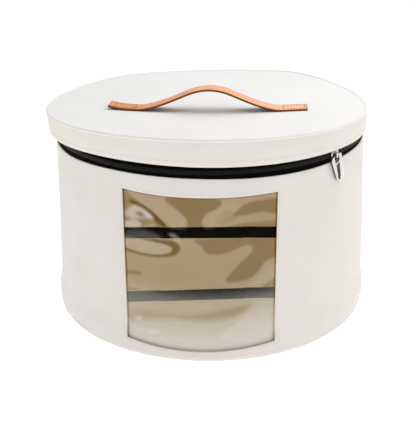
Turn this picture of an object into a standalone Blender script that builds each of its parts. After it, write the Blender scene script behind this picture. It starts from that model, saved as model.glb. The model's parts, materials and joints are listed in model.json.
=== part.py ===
"""Round hat box of stiffened off-white cloth: zipped soft lid, clear window and leather strap handle.

Metres, +Z up. The box stands on z = 0 with its axis on the Z axis and its window facing -Y.
Azimuth is measured round the axis from -Y, positive towards +X. Written for Blender 4.5.
"""

import math
from collections import namedtuple

import bmesh
import bpy
import numpy as np
from mathutils import Matrix, Vector

# Body
BODY_RADIUS = 0.199  # outside of the wall at its top edge
BASE_FLARE = 0.006  # how much wider the wall is at the floor
BODY_HEIGHT = 0.2316
WALL_THICKNESS = 0.002
BOTTOM_ROUND = 0.005  # radius of the soft bottom edge
BOTTOM_TURN_IN = 0.005  # cloth turned in under the base board
BASE_BOARD = 0.003
LINING_THICKNESS = 0.001
SEAT_GAP = 0.0003  # between pieces that are sewn or laid on each other

# Window, whose width and corners are measured along the wall
WINDOW_WIDTH = 0.184
WINDOW_SILL = 0.0142  # height of the opening's lower edge at its middle
WINDOW_SILL_RISE = 0.0065  # how much higher that edge is at its corners
WINDOW_HEAD = 0.0228  # from the opening's upper edge up to the wall's top edge
WINDOW_HEAD_FALL = 0.003  # how much lower the upper edge is at its right corner
FILM_MARGIN = 0.008  # film sewn behind the cloth round the opening
FILM_THICKNESS = 0.0006
FILM_DENT = 0.0022  # deepest dent of the slack film

# Straps across the inside, behind the window
INNER_STRAP_WIDTH = 0.014
INNER_STRAP_THICKNESS = 0.0014
INNER_STRAP_SETBACK = 0.034  # from the wall's outside at the top down to the straight run
INNER_STRAP_TAB = 0.014  # sewn flat to the lining at each end

# Zipper
ZIPPER_HEIGHT = 0.0149  # what shows between the wall's top edge and the lid's hem
TAPE_THICKNESS = 0.0008
TAPE_TUCK = 0.0085  # tape sewn behind the wall
TAPE_SPLIT = 0.0005  # between the two tapes, under the teeth
COIL_WIDTH = 0.0062
COIL_HEIGHT = 0.0022
ZIPPER_REACH = math.radians(145.0)  # each way from the front
GUSSET_THICKNESS = 0.0012

# Slider and pull, in the slider's own frame: X along the zipper, Y up, Z outwards
SLIDER_AZIMUTH = math.radians(50.5)
SLIDER_LENGTH = 0.014
SLIDER_FLANGE = 0.0012
SLIDER_PLATE = 0.0013
SLIDER_CLEARANCE = 0.0004
BRIDGE_BAR = 0.0011
BRIDGE_WIDTH = 0.0026
BRIDGE_SPAN = 0.0052  # clear between the bridge's legs
PULL_THICKNESS = 0.0016
PULL_LENGTH = 0.0315
PULL_TOP_WIDTH = 0.0150
PULL_TIP_WIDTH = 0.0126
PULL_POINT = 0.0055  # length of the pointed end
PULL_BAR = 0.0016  # the bar held under the bridge
PULL_HOLE_WIDTH = 0.0062
PULL_HOLE_LENGTH = 0.0068
PULL_BORDER = 0.0018  # raised border round the sunk middle
PULL_SINK = 0.0004
PULL_CLEARANCE = 0.0002  # round what the bar's edges sweep as the pull turns
PULL_LEAN = math.radians(12.0)  # the pull hangs a little askew

# Lid
HEM_OVERHANG = 0.004  # hem beyond the wall's top edge
HEM_SHIFT = -0.0015  # the soft hem sits towards -X
HEM_WAVE = 0.0015  # hem higher at front and back than at the sides
HEM_FLANGE = 0.0065  # cloth turned up inside the hem, where the tape is sewn
RIM_OVERHANG = 0.0034  # rim beyond the hem
RIM_SHIFT = -0.0035
RIM_RISE = 0.0223  # rim above the hem, on average
RIM_TILT = 0.0085  # front of the rim above its average
BAND_THICKNESS = 0.0018
BAND_BULGE = 0.0008
PIPING_DIAMETER = 0.0038
LID_PANEL = 0.002
LID_DISH = 0.0136  # how far the middle hangs below the rim

# Handle
HANDLE_WIDTH = 0.0285
HANDLE_THICKNESS = 0.0025
HANDLE_SPAN = 0.176  # between the points where it lifts off the lid
HANDLE_FOOT = 0.0385  # each flat end
HANDLE_RISE = 0.0288  # underside of the crest above the lid

# How finely round shapes are divided
SEGMENTS = 72
LID_RINGS = 6
HANDLE_STATIONS = 14

# Waves of the lid's rim: how many in a turn, and their heights at the front and at the side
# as shares of RIM_TILT
Wave = namedtuple("Wave", "turns front side")
RIM_WAVES = (
    Wave(turns=1, front=1.0, side=0.09),
    Wave(turns=2, front=0.30, side=-0.10),
)

# The handle's underside from its crest outwards: distance as a share of half HANDLE_SPAN and
# height as a share of HANDLE_RISE
Hump = namedtuple("Hump", "along height")
HANDLE_HUMP = (
    Hump(along=0.00, height=1.000),
    Hump(along=0.12, height=0.965),
    Hump(along=0.26, height=0.855),
    Hump(along=0.40, height=0.660),
    Hump(along=0.55, height=0.460),
    Hump(along=0.70, height=0.270),
    Hump(along=0.85, height=0.115),
    Hump(along=1.00, height=0.000),
)

# Dents of the slack film: centre and half-width as shares of its width and height, and depth
# as a share of FILM_DENT
Dent = namedtuple("Dent", "across up half_width half_height depth")
FILM_DENTS = (
    Dent(across=0.22, up=0.80, half_width=0.16, half_height=0.14, depth=1.00),
    Dent(across=0.50, up=0.88, half_width=0.10, half_height=0.22, depth=0.80),
    Dent(across=0.80, up=0.62, half_width=0.14, half_height=0.20, depth=0.90),
    Dent(across=0.62, up=0.30, half_width=0.30, half_height=0.16, depth=0.60),
)

# Straps behind the window: height as a share of BODY_HEIGHT, and rise from the left end to the
# right end as a share of INNER_STRAP_WIDTH
InnerStrap = namedtuple("InnerStrap", "name height rise")
INNER_STRAPS = (
    InnerStrap(name="inner_strap_upper", height=0.656, rise=0.42),
    InnerStrap(name="inner_strap_lower", height=0.302, rise=0.98),
)

# The slider's outline seen from outside: distance along as a share of half its length, and how
# much of the flange stands beside the groove
Corner = namedtuple("Corner", "along flange")
SLIDER_OUTLINE = (
    Corner(along=-1.00, flange=0.30),
    Corner(along=-0.25, flange=1.00),
    Corner(along=0.75, flange=1.00),
    Corner(along=1.00, flange=0.35),
)

# Radii and heights that follow
HEM_HEIGHT = BODY_HEIGHT + ZIPPER_HEIGHT
HEM_RADIUS = BODY_RADIUS + HEM_OVERHANG
RIM_RADIUS = HEM_RADIUS + RIM_OVERHANG
RIM_HEIGHT = HEM_HEIGHT + RIM_RISE
PIPING_RADIUS = PIPING_DIAMETER / 2
TAPE_RADIUS = BODY_RADIUS - WALL_THICKNESS - SEAT_GAP
COIL_SEAT = TAPE_RADIUS + SEAT_GAP
COIL_OUTSIDE = COIL_SEAT + COIL_HEIGHT
ZIPPER_MIDDLE = BODY_HEIGHT + ZIPPER_HEIGHT / 2
TAPE_BOTTOM = BODY_HEIGHT - TAPE_TUCK
TAPE_TOP = HEM_HEIGHT + HEM_FLANGE
FLOOR_TOP = BASE_BOARD + SEAT_GAP + LINING_THICKNESS
LINING_TOP = TAPE_BOTTOM - SEAT_GAP
BAR_SWEEP = math.hypot(PULL_BAR, PULL_THICKNESS) / 2


def wall_radius(height):
    """Outside of the wall at a height: a straight taper from the floor to the top edge."""
    return BODY_RADIUS + BASE_FLARE * (1 - height / BODY_HEIGHT)


def lining_outside(height):
    return wall_radius(height) - WALL_THICKNESS - SEAT_GAP


def lining_inside(height):
    return lining_outside(height) - LINING_THICKNESS


def round_axis(radius, azimuth, height, shift=0.0):
    """Points at a radius and azimuth about the box's axis, moved along X by shift."""
    radius, azimuth, height = np.broadcast_arrays(radius, azimuth, height)
    return np.stack([radius * np.sin(azimuth) + shift, -radius * np.cos(azimuth), height], -1)


def full_turn():
    return np.linspace(0, 2 * math.pi, SEGMENTS, endpoint=False)


def part_turn(start, end):
    """Azimuths from start to end, at about the spacing of a full turn's."""
    steps = max(2, round(SEGMENTS * (end - start) / (2 * math.pi)))
    return np.linspace(start, end, steps + 1)


def rim_wave(azimuth, share):
    """Height of the rim's waves, dying away towards the lid's middle as share goes to 0."""
    return RIM_TILT * sum(
        share**wave.turns
        * (wave.front * np.cos(wave.turns * azimuth) + wave.side * np.sin(wave.turns * azimuth))
        for wave in RIM_WAVES
    )


def lid_height(x, y):
    """Upper face of the lid's top: a paraboloid dish hung from the waved rim."""
    share = np.hypot(x - RIM_SHIFT, y) / RIM_RADIUS
    azimuth = np.arctan2(x - RIM_SHIFT, -y)
    edge = RIM_HEIGHT - PIPING_RADIUS + LID_PANEL / 2
    return edge - LID_DISH * (1 - share**2) + rim_wave(azimuth, share)


def new_object(name, vertices, faces, material, parent):
    """A mesh object whose faces are turned outwards."""
    mesh = bpy.data.meshes.new(name)
    mesh.from_pydata([tuple(v) for v in vertices], [], faces)
    work = bmesh.new()
    work.from_mesh(mesh)
    bmesh.ops.recalc_face_normals(work, faces=work.faces)
    work.to_mesh(mesh)
    work.free()
    obj = bpy.data.objects.new(name, mesh)
    bpy.context.scene.collection.objects.link(obj)
    obj.parent = parent
    if material:
        mesh.materials.append(material)
    mesh.shade_smooth()
    mesh.set_sharp_from_angle(angle=math.radians(35))
    return obj


def lofted(name, sections, material, parent, loop=False):
    """A solid through closed sections of equal point counts, joined end to end when loop is set."""
    sections = np.asarray(sections)
    count, points = sections.shape[:2]
    faces = []
    for i in range(count if loop else count - 1):
        here = i * points
        there = (i + 1) % count * points
        for j in range(points):
            k = (j + 1) % points
            faces.append((here + j, here + k, there + k, there + j))
    if not loop:
        faces.append(tuple(range(points)))
        faces.append(tuple(range((count - 1) * points, count * points)))
    return new_object(name, sections.reshape(-1, 3), faces, material, parent)


def turned(name, section, azimuths, material, parent, loop=False):
    """The same section of (radius, height) points carried round the box's axis."""
    radius, height = np.array(section).T
    sections = [round_axis(radius, azimuth, height) for azimuth in azimuths]
    return lofted(name, sections, material, parent, loop)


def sheet(name, outside, inside, material, parent):
    """A solid between two grids of points, closed along its four edges."""
    rows, columns = outside.shape[:2]
    front = np.arange(rows * columns).reshape(rows, columns)
    back = front + rows * columns
    faces = []
    for grid in (front, back):
        corners = (grid[:-1, :-1], grid[1:, :-1], grid[1:, 1:], grid[:-1, 1:])
        faces += np.stack([corner.ravel() for corner in corners], 1).tolist()
    edge = np.concatenate([front[0], front[1:, -1], front[-1, -2::-1], front[-2:0:-1, 0]])
    after = np.roll(edge, -1)
    faces += np.stack([edge, after, after + rows * columns, edge + rows * columns], 1).tolist()
    vertices = np.concatenate([outside.reshape(-1, 3), inside.reshape(-1, 3)])
    return new_object(name, vertices, faces, material, parent)


def disc(name, radius, bottom, top, material, parent):
    angles = full_turn()
    rings = [round_axis(radius, angles, height) for height in (bottom, top)]
    return lofted(name, rings, material, parent)


def prism(name, outline, bottom, top, parent, material=None):
    """An outline of (x, y) points raised from bottom to top."""
    flat = np.array(outline, float)
    levels = [np.column_stack([flat, np.full(len(flat), z)]) for z in (bottom, top)]
    return lofted(name, levels, material, parent)


def as_helper(obj):
    obj.hide_render = True
    obj.display_type = "WIRE"
    return obj


def combine(obj, other, operation):
    """Cuts or joins another object by an exact Boolean, and keeps the other as a helper."""
    modifier = obj.modifiers.new(f"{operation.lower()} {other.name}", "BOOLEAN")
    modifier.operation = operation
    modifier.solver = "EXACT"
    modifier.object = as_helper(other)


def empty(name, parent, matrix=Matrix.Identity(4)):
    obj = bpy.data.objects.new(name, None)
    bpy.context.scene.collection.objects.link(obj)
    obj.parent = parent
    obj.matrix_basis = matrix
    return obj


def make_material(name, colour, roughness, metallic=0.0, alpha=1.0):
    material = bpy.data.materials.new(name)
    material.use_nodes = True
    shader = material.node_tree.nodes["Principled BSDF"]
    shader.inputs["Base Color"].default_value = (*colour, 1.0)
    shader.inputs["Roughness"].default_value = roughness
    shader.inputs["Metallic"].default_value = metallic
    shader.inputs["Alpha"].default_value = alpha
    return material


def window_azimuth(width):
    """Half of a width along the wall, as an azimuth on the wall's mean radius."""
    return width / 2 / wall_radius(BODY_HEIGHT / 2)


def window_cutter(parent):
    """A curved block with the opening's outline, right through the wall."""
    across = np.linspace(-1, 1, 13)
    half = window_azimuth(WINDOW_WIDTH)
    sill = WINDOW_SILL + WINDOW_SILL_RISE * across**2
    head = BODY_HEIGHT - WINDOW_HEAD - WINDOW_HEAD_FALL * np.clip(across, 0, 1) ** 2
    inner = lining_outside(BODY_HEIGHT) - WALL_THICKNESS
    outer = wall_radius(0) + WALL_THICKNESS
    sections = []
    for azimuth, low, high in zip(across * half, sill, head):
        corners = ((inner, low), (outer, low), (outer, high), (inner, high))
        sections.append([round_axis(radius, azimuth, height) for radius, height in corners])
    return lofted("window_cutter", sections, None, parent)


def make_body(parent, cloth, tan):
    """Base board, wall with its window opening, and the two linings."""
    inner_edge = wall_radius(0) - BOTTOM_ROUND - BOTTOM_TURN_IN
    disc("base_panel", inner_edge - SEAT_GAP, 0, BASE_BOARD, cloth, parent)

    bend = np.linspace(0, math.pi / 2, 4)
    bend_centre = wall_radius(BOTTOM_ROUND) - BOTTOM_ROUND
    bend_radius = bend_centre + BOTTOM_ROUND * np.cos(bend)
    bend_height = BOTTOM_ROUND * (1 - np.sin(bend))
    outside = [(wall_radius(h), h) for h in (BODY_HEIGHT, BODY_HEIGHT * 2 / 3, BODY_HEIGHT / 3)]
    outside += list(zip(bend_radius, bend_height))
    inner_wall = wall_radius(BOTTOM_ROUND) - WALL_THICKNESS
    inside = [
        (inner_edge, 0),
        (inner_edge, WALL_THICKNESS),
        (inner_wall - WALL_THICKNESS / 2, WALL_THICKNESS),
        (inner_wall, WALL_THICKNESS * 3 / 2),
        (wall_radius(BODY_HEIGHT / 3) - WALL_THICKNESS, BODY_HEIGHT / 3),
        (wall_radius(BODY_HEIGHT * 2 / 3) - WALL_THICKNESS, BODY_HEIGHT * 2 / 3),
        (BODY_RADIUS - WALL_THICKNESS, BODY_HEIGHT),
    ]
    wall = turned("body_wall", outside + inside, full_turn(), cloth, parent, loop=True)
    combine(wall, window_cutter(parent), "DIFFERENCE")

    floor_bottom = BASE_BOARD + SEAT_GAP
    disc("floor_lining", inner_wall - 2 * SEAT_GAP, floor_bottom, FLOOR_TOP, tan, parent)

    foot = FLOOR_TOP + SEAT_GAP
    profile = [
        (lining_outside(LINING_TOP), LINING_TOP),
        (lining_outside(foot), foot),
        (lining_inside(foot), foot),
        (lining_inside(LINING_TOP), LINING_TOP),
    ]
    lining = turned("wall_lining", profile, full_turn(), tan, parent, loop=True)
    half = window_azimuth(WINDOW_WIDTH + 2 * FILM_MARGIN) + SEAT_GAP / BODY_RADIUS
    low = WINDOW_SILL - FILM_MARGIN - SEAT_GAP
    high = BODY_HEIGHT - WINDOW_HEAD + FILM_MARGIN + SEAT_GAP
    reach = (lining_inside(BODY_HEIGHT) - WALL_THICKNESS, wall_radius(0))
    corners = ((reach[0], low), (reach[1], low), (reach[1], high), (reach[0], high))
    cutter = turned("lining_cutter", corners, part_turn(-half, half), None, parent)
    combine(lining, cutter, "DIFFERENCE")


def film_dent(across, up):
    """Depth of the film's dents: smooth round bumps that end inside the film's sewn margin."""
    depth = 0
    for dent in FILM_DENTS:
        side = np.clip(np.abs(across - dent.across) / dent.half_width, 0, 1)
        rise = np.clip(np.abs(up - dent.up) / dent.half_height, 0, 1)
        depth = depth + dent.depth * (1 + np.cos(math.pi * side)) * (1 + np.cos(math.pi * rise)) / 4
    return FILM_DENT * depth * np.clip(8 * up * (1 - up), 0, 1)


def make_window_film(parent, clear):
    """Clear film behind the opening, following the wall, with the dents of slack film."""
    half = window_azimuth(WINDOW_WIDTH + 2 * FILM_MARGIN)
    bottom = WINDOW_SILL - FILM_MARGIN
    top = BODY_HEIGHT - WINDOW_HEAD + FILM_MARGIN
    across, up = np.meshgrid(np.linspace(0, 1, 19), np.linspace(0, 1, 14))
    height = bottom + (top - bottom) * up
    outer = lining_outside(height) - film_dent(across, up)
    azimuth = half * (2 * across - 1)
    outside = round_axis(outer, azimuth, height)
    inside = round_axis(outer - FILM_THICKNESS, azimuth, height)
    return sheet("window_film", outside, inside, clear, parent)


def make_inner_strap(strap, parent, webbing):
    """A flat strap straight across behind the window, with a tab along the lining at each end."""
    middle = strap.height * BODY_HEIGHT
    top = middle + INNER_STRAP_WIDTH * (1 + strap.rise) / 2
    seat = lining_inside(top) - SEAT_GAP
    chord = BODY_RADIUS - INNER_STRAP_SETBACK
    bend = math.acos(chord / seat)
    turn = INNER_STRAP_TAB / seat * np.linspace(0.2, 1, 5)
    right = np.concatenate([[bend], bend + turn])
    azimuth = np.concatenate([-right[::-1], [-bend / 2, 0, bend / 2], right])
    radius = np.minimum(seat, chord / np.cos(np.minimum(np.abs(azimuth), bend)))
    path = round_axis(radius, azimuth, 0)
    straight = np.abs(azimuth) < bend
    inward = -path / np.linalg.norm(path, axis=1, keepdims=True)
    inward[straight] = (0, 1, 0)
    rise = strap.rise * INNER_STRAP_WIDTH * azimuth / np.abs(azimuth).max() / 2
    sections = []
    for point, normal, lift in zip(path, inward, rise):
        low = middle - INNER_STRAP_WIDTH / 2 + lift
        high = middle + INNER_STRAP_WIDTH / 2 + lift
        deep = point + normal * INNER_STRAP_THICKNESS
        corners = ((point, low), (point, high), (deep, high), (deep, low))
        sections.append([(corner[0], corner[1], height) for corner, height in corners])
    return lofted(strap.name, sections, webbing, parent)


def make_zipper_tapes(parent, black, cloth):
    """The two tapes, the closed row of teeth on them, and the cloth gusset between their ends."""
    inner = TAPE_RADIUS - TAPE_THICKNESS
    azimuths = part_turn(-ZIPPER_REACH, ZIPPER_REACH)
    runs = (
        ("zipper_tape_lower", TAPE_BOTTOM, ZIPPER_MIDDLE - TAPE_SPLIT / 2),
        ("zipper_tape_upper", ZIPPER_MIDDLE + TAPE_SPLIT / 2, TAPE_TOP),
    )
    for name, low, high in runs:
        section = ((TAPE_RADIUS, high), (TAPE_RADIUS, low), (inner, low), (inner, high))
        turned(name, section, azimuths, black, parent)

    outline = ((0.0, 1.0), (0.7, 0.86), (1.0, 0.45), (1.0, -0.45), (0.7, -0.86), (0.0, -1.0))
    coil = [
        (COIL_SEAT + out * COIL_HEIGHT, ZIPPER_MIDDLE + up * COIL_WIDTH / 2) for out, up in outline
    ]
    turned("zipper_coil", coil, azimuths, black, parent)

    start = ZIPPER_REACH + SEAT_GAP / TAPE_RADIUS
    inner = TAPE_RADIUS - GUSSET_THICKNESS
    section = (
        (TAPE_RADIUS, TAPE_TOP),
        (TAPE_RADIUS, TAPE_BOTTOM),
        (inner, TAPE_BOTTOM),
        (inner, TAPE_TOP),
    )
    turned("back_gusset", section, part_turn(start, 2 * math.pi - start), cloth, parent)


def slider_frame():
    """X along the zipper, Y up and Z outwards, on the teeth's outer face at the slider."""
    along = Vector((math.cos(SLIDER_AZIMUTH), math.sin(SLIDER_AZIMUTH), 0))
    up = Vector((0, 0, 1))
    out = Vector((math.sin(SLIDER_AZIMUTH), -math.cos(SLIDER_AZIMUTH), 0))
    place = out * COIL_OUTSIDE + up * ZIPPER_MIDDLE
    matrix = Matrix((along, up, out)).transposed().to_4x4()
    matrix.translation = place
    return matrix


def make_slider(parent, metal):
    """A channel over the teeth with a bridge on it, whose legs stand above one another."""
    channel = COIL_WIDTH / 2 + SLIDER_CLEARANCE
    plate_bottom = SLIDER_CLEARANCE
    plate_top = plate_bottom + SLIDER_PLATE
    flange_bottom = SLIDER_CLEARANCE - COIL_HEIGHT - SEAT_GAP
    upper = [
        (corner.along * SLIDER_LENGTH / 2, channel + corner.flange * SLIDER_FLANGE)
        for corner in SLIDER_OUTLINE
    ]
    lower = [(x, -y) for x, y in reversed(upper)]
    slider = prism("zipper_slider", upper + lower, flange_bottom, plate_top, parent, metal)
    past = SLIDER_LENGTH
    groove = [(-past, -channel), (past, -channel), (past, channel), (-past, channel)]
    combine(slider, prism("slider_groove", groove, -past, plate_bottom, parent), "DIFFERENCE")

    inside = BRIDGE_SPAN / 2
    outside = inside + BRIDGE_BAR
    under = plate_top + 2 * (BAR_SWEEP + PULL_CLEARANCE)
    over = under + BRIDGE_BAR
    foot = plate_top - SLIDER_PLATE / 2
    chamfer = BRIDGE_BAR / 2
    arch = (
        (-outside, foot),
        (-inside, foot),
        (-inside, under),
        (inside, under),
        (inside, foot),
        (outside, foot),
        (outside, over - chamfer),
        (outside - chamfer, over),
        (chamfer - outside, over),
        (-outside, over - chamfer),
    )
    sections = [[(x, y, z) for y, z in arch] for x in (-BRIDGE_WIDTH / 2, BRIDGE_WIDTH / 2)]
    combine(slider, lofted("slider_bridge", sections, None, parent), "UNION")
    return slider


def pull_axis():
    """Middle of the pull's bar in the slider's frame, and its turn about Z."""
    rise = SLIDER_CLEARANCE + SLIDER_PLATE + PULL_CLEARANCE + BAR_SWEEP
    drop = -BRIDGE_SPAN / 2 + PULL_CLEARANCE + BAR_SWEEP
    return Matrix.Translation((0, drop, rise)) @ Matrix.Rotation(PULL_LEAN, 4, "Z")


def make_pull(parent, metal):
    """The pull tab, hanging along -Y from the bar on its parent's X axis."""
    top = PULL_BAR / 2
    shoulder = PULL_POINT - PULL_LENGTH
    tip = top - PULL_LENGTH
    wide = PULL_TOP_WIDTH / 2
    narrow = PULL_TIP_WIDTH / 2
    outline = [
        (-0.7 * wide, top),
        (-wide, top - 0.4 * wide),
        (-narrow, shoulder),
        (-0.35 * narrow, tip),
        (0.35 * narrow, tip),
        (narrow, shoulder),
        (wide, top - 0.4 * wide),
        (0.7 * wide, top),
    ]
    half = PULL_THICKNESS / 2
    pull = prism("zipper_pull", outline, -half, half, parent, metal)

    hole_top = -PULL_BAR / 2
    hole_bottom = hole_top - PULL_HOLE_LENGTH
    side = PULL_HOLE_WIDTH / 2
    corner = side / 3
    hole = [
        (-side, hole_bottom + corner),
        (corner - side, hole_bottom),
        (side - corner, hole_bottom),
        (side, hole_bottom + corner),
        (side, hole_top),
        (-side, hole_top),
    ]
    combine(pull, prism("pull_hole", hole, -3 * half, 3 * half, parent), "DIFFERENCE")

    sunk_top = hole_bottom - PULL_BORDER
    sunk = [
        (PULL_BORDER - wide, sunk_top),
        (PULL_BORDER - narrow, shoulder + PULL_BORDER / 2),
        (-0.2 * narrow, tip + PULL_BORDER),
        (0.2 * narrow, tip + PULL_BORDER),
        (narrow - PULL_BORDER, shoulder + PULL_BORDER / 2),
        (wide - PULL_BORDER, sunk_top),
    ]
    sink = prism("pull_sink", sunk, half - PULL_SINK, 3 * half, parent)
    combine(pull, sink, "DIFFERENCE")
    return pull


def make_lid_band(parent, cloth):
    """The lid's side: out from the hem to the rim, turned in and up inside the hem."""
    flange = TAPE_RADIUS + SEAT_GAP
    soft = BAND_THICKNESS / 2
    sections = []
    for azimuth in full_turn():
        hem = HEM_HEIGHT + HEM_WAVE * math.cos(2 * azimuth)
        top = RIM_HEIGHT + rim_wave(azimuth, 1) - PIPING_DIAMETER - SEAT_GAP
        low_radius = HEM_RADIUS
        top_radius = RIM_RADIUS - PIPING_RADIUS / 3
        middle = (low_radius + top_radius) / 2 + BAND_BULGE
        level = (hem + top) / 2
        shifted = [
            (top_radius, top, RIM_SHIFT),
            (middle, level, (RIM_SHIFT + HEM_SHIFT) / 2),
            (low_radius, hem + soft, HEM_SHIFT),
            (low_radius - soft, hem, HEM_SHIFT),
            (flange + soft, hem, 0),
            (flange, hem + soft, 0),
            (flange, hem + HEM_FLANGE, 0),
            (flange + soft, hem + HEM_FLANGE, 0),
            (flange + soft, hem + BAND_THICKNESS, 0),
            (low_radius - BAND_THICKNESS, hem + BAND_THICKNESS, HEM_SHIFT),
            (middle - BAND_THICKNESS, level, (RIM_SHIFT + HEM_SHIFT) / 2),
            (top_radius - BAND_THICKNESS, top, RIM_SHIFT),
        ]
        sections.append([round_axis(r, azimuth, z, shift) for r, z, shift in shifted])
    return lofted("lid_band", sections, cloth, parent, loop=True)


def make_lid_piping(parent, cloth):
    """A round cord in cloth along the rim."""
    around = np.linspace(0, 2 * math.pi, 8, endpoint=False)
    sections = []
    for azimuth in full_turn():
        radius = RIM_RADIUS - PIPING_RADIUS * (1 - np.cos(around))
        level = RIM_HEIGHT + rim_wave(azimuth, 1) - PIPING_RADIUS * (1 - np.sin(around))
        sections.append(round_axis(radius, azimuth, level, RIM_SHIFT))
    return lofted("lid_piping", sections, cloth, parent, loop=True)


def make_lid_top(parent, cloth):
    """The dished top inside the piping, as rings of points on its upper and lower faces."""
    edge = RIM_RADIUS - PIPING_DIAMETER - SEAT_GAP
    azimuths = full_turn()
    shares = np.linspace(1, 0, LID_RINGS, endpoint=False)
    rings = np.stack([round_axis(edge * share, azimuths, 0, RIM_SHIFT) for share in shares])
    rings[..., 2] = lid_height(rings[..., 0], rings[..., 1])
    middle = np.array([[RIM_SHIFT, 0, lid_height(RIM_SHIFT, 0)]])
    upper = np.concatenate([rings.reshape(-1, 3), middle])
    lower = upper - (0, 0, LID_PANEL)
    count = len(upper)
    around = np.arange(SEGMENTS)
    after = np.roll(around, -1)
    faces = np.stack([around, after, after + count, around + count], 1).tolist()
    for base in (0, count):
        for ring in range(LID_RINGS - 1):
            first = base + ring * SEGMENTS
            second = first + SEGMENTS
            quads = [first + around, first + after, second + after, second + around]
            faces += np.stack(quads, 1).tolist()
        last = base + (LID_RINGS - 1) * SEGMENTS
        centre = np.full(SEGMENTS, base + count - 1)
        faces += np.stack([last + around, last + after, centre], 1).tolist()
    return new_object("lid_top", np.concatenate([upper, lower]), faces, cloth, parent)


def handle_hump(x):
    """Height of the handle's underside over the lid, smoothly through the table's rows."""
    along = np.array([row.along for row in HANDLE_HUMP])
    height = np.array([row.height for row in HANDLE_HUMP])
    share = np.clip(np.abs(x) / (HANDLE_SPAN / 2), 0, 1)
    return HANDLE_RISE * np.interp(share, along, height)


def make_handle(parent, leather):
    """A flat leather strap: its feet follow the lid and its middle rises in a hump."""
    end = HANDLE_SPAN / 2 + HANDLE_FOOT
    risen = [row.along * HANDLE_SPAN / 2 for row in HANDLE_HUMP]
    flat = np.linspace(HANDLE_SPAN / 2, end, HANDLE_STATIONS // 3)[1:]
    half = np.concatenate([risen, flat])
    stations = np.concatenate([-half[:0:-1], half])
    across = np.linspace(-HANDLE_WIDTH / 2, HANDLE_WIDTH / 2, 3)
    x, y = np.meshgrid(stations, across, indexing="ij")
    under = np.stack([x, y, lid_height(x, y) + handle_hump(x) + SEAT_GAP], -1)
    along = np.gradient(under, axis=0)
    sideways = np.gradient(under, axis=1)
    normal = np.cross(along, sideways)
    normal /= np.linalg.norm(normal, axis=-1, keepdims=True)
    return sheet("handle_strap", under + HANDLE_THICKNESS * normal, under, leather, parent)


def main():
    for obj in list(bpy.data.objects):
        bpy.data.objects.remove(obj, do_unlink=True)

    cloth = make_material("off-white cloth", (0.80, 0.78, 0.74), 0.85)
    tan = make_material("tan lining", (0.45, 0.34, 0.20), 0.85)
    clear = make_material("clear film", (0.85, 0.82, 0.76), 0.12, alpha=0.35)
    webbing = make_material("black webbing", (0.012, 0.012, 0.012), 0.8)
    black = make_material("black zipper", (0.010, 0.010, 0.010), 0.55)
    metal = make_material("nickel plate", (0.66, 0.66, 0.66), 0.22, metallic=1.0)
    leather = make_material("tan leather", (0.56, 0.28, 0.15), 0.5)

    box = empty("hat_box", None)
    body = empty("body", box)
    lid = empty("lid", box)
    zipper = empty("zipper", box)

    make_body(body, cloth, tan)
    make_window_film(body, clear)
    for strap in INNER_STRAPS:
        make_inner_strap(strap, body, webbing)
    make_zipper_tapes(zipper, black, cloth)
    slider_place = empty("slider_place", zipper, slider_frame())
    make_slider(slider_place, metal)
    make_pull(empty("pull_axis", slider_place, pull_axis()), metal)
    make_lid_band(lid, cloth)
    make_lid_piping(lid, cloth)
    make_lid_top(lid, cloth)
    make_handle(lid, leather)
    bpy.context.view_layer.update()


main()
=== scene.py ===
import functools
import json
import logging
import math
from dataclasses import dataclass, field
from enum import Enum

import bmesh
import bpy
import numpy as np
from mathutils import Matrix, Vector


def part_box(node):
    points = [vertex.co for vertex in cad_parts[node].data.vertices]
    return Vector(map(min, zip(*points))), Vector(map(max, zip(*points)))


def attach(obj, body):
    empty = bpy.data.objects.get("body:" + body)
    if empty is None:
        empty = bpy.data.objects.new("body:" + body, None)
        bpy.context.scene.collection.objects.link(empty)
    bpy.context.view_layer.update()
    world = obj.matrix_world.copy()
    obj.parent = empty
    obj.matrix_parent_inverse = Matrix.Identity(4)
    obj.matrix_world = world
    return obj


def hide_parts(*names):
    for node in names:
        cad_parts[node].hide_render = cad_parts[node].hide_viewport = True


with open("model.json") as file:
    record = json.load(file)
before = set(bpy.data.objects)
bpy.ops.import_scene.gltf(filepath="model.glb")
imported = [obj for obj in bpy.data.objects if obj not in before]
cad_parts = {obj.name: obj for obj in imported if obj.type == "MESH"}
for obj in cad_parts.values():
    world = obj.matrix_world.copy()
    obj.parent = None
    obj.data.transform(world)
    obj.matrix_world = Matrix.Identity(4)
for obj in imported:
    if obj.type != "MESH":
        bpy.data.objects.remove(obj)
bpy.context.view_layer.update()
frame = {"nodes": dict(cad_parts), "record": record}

log = logging.getLogger("hat_box")
Points = np.ndarray
Table = tuple[tuple[float, float], ...]
Path = tuple[Points, Points]
Piece = bpy.types.Object
Tree, Node, Socket = bpy.types.NodeTree, bpy.types.Node, bpy.types.NodeSocket

TURN = 2 * math.pi
MM = 0.001


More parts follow.
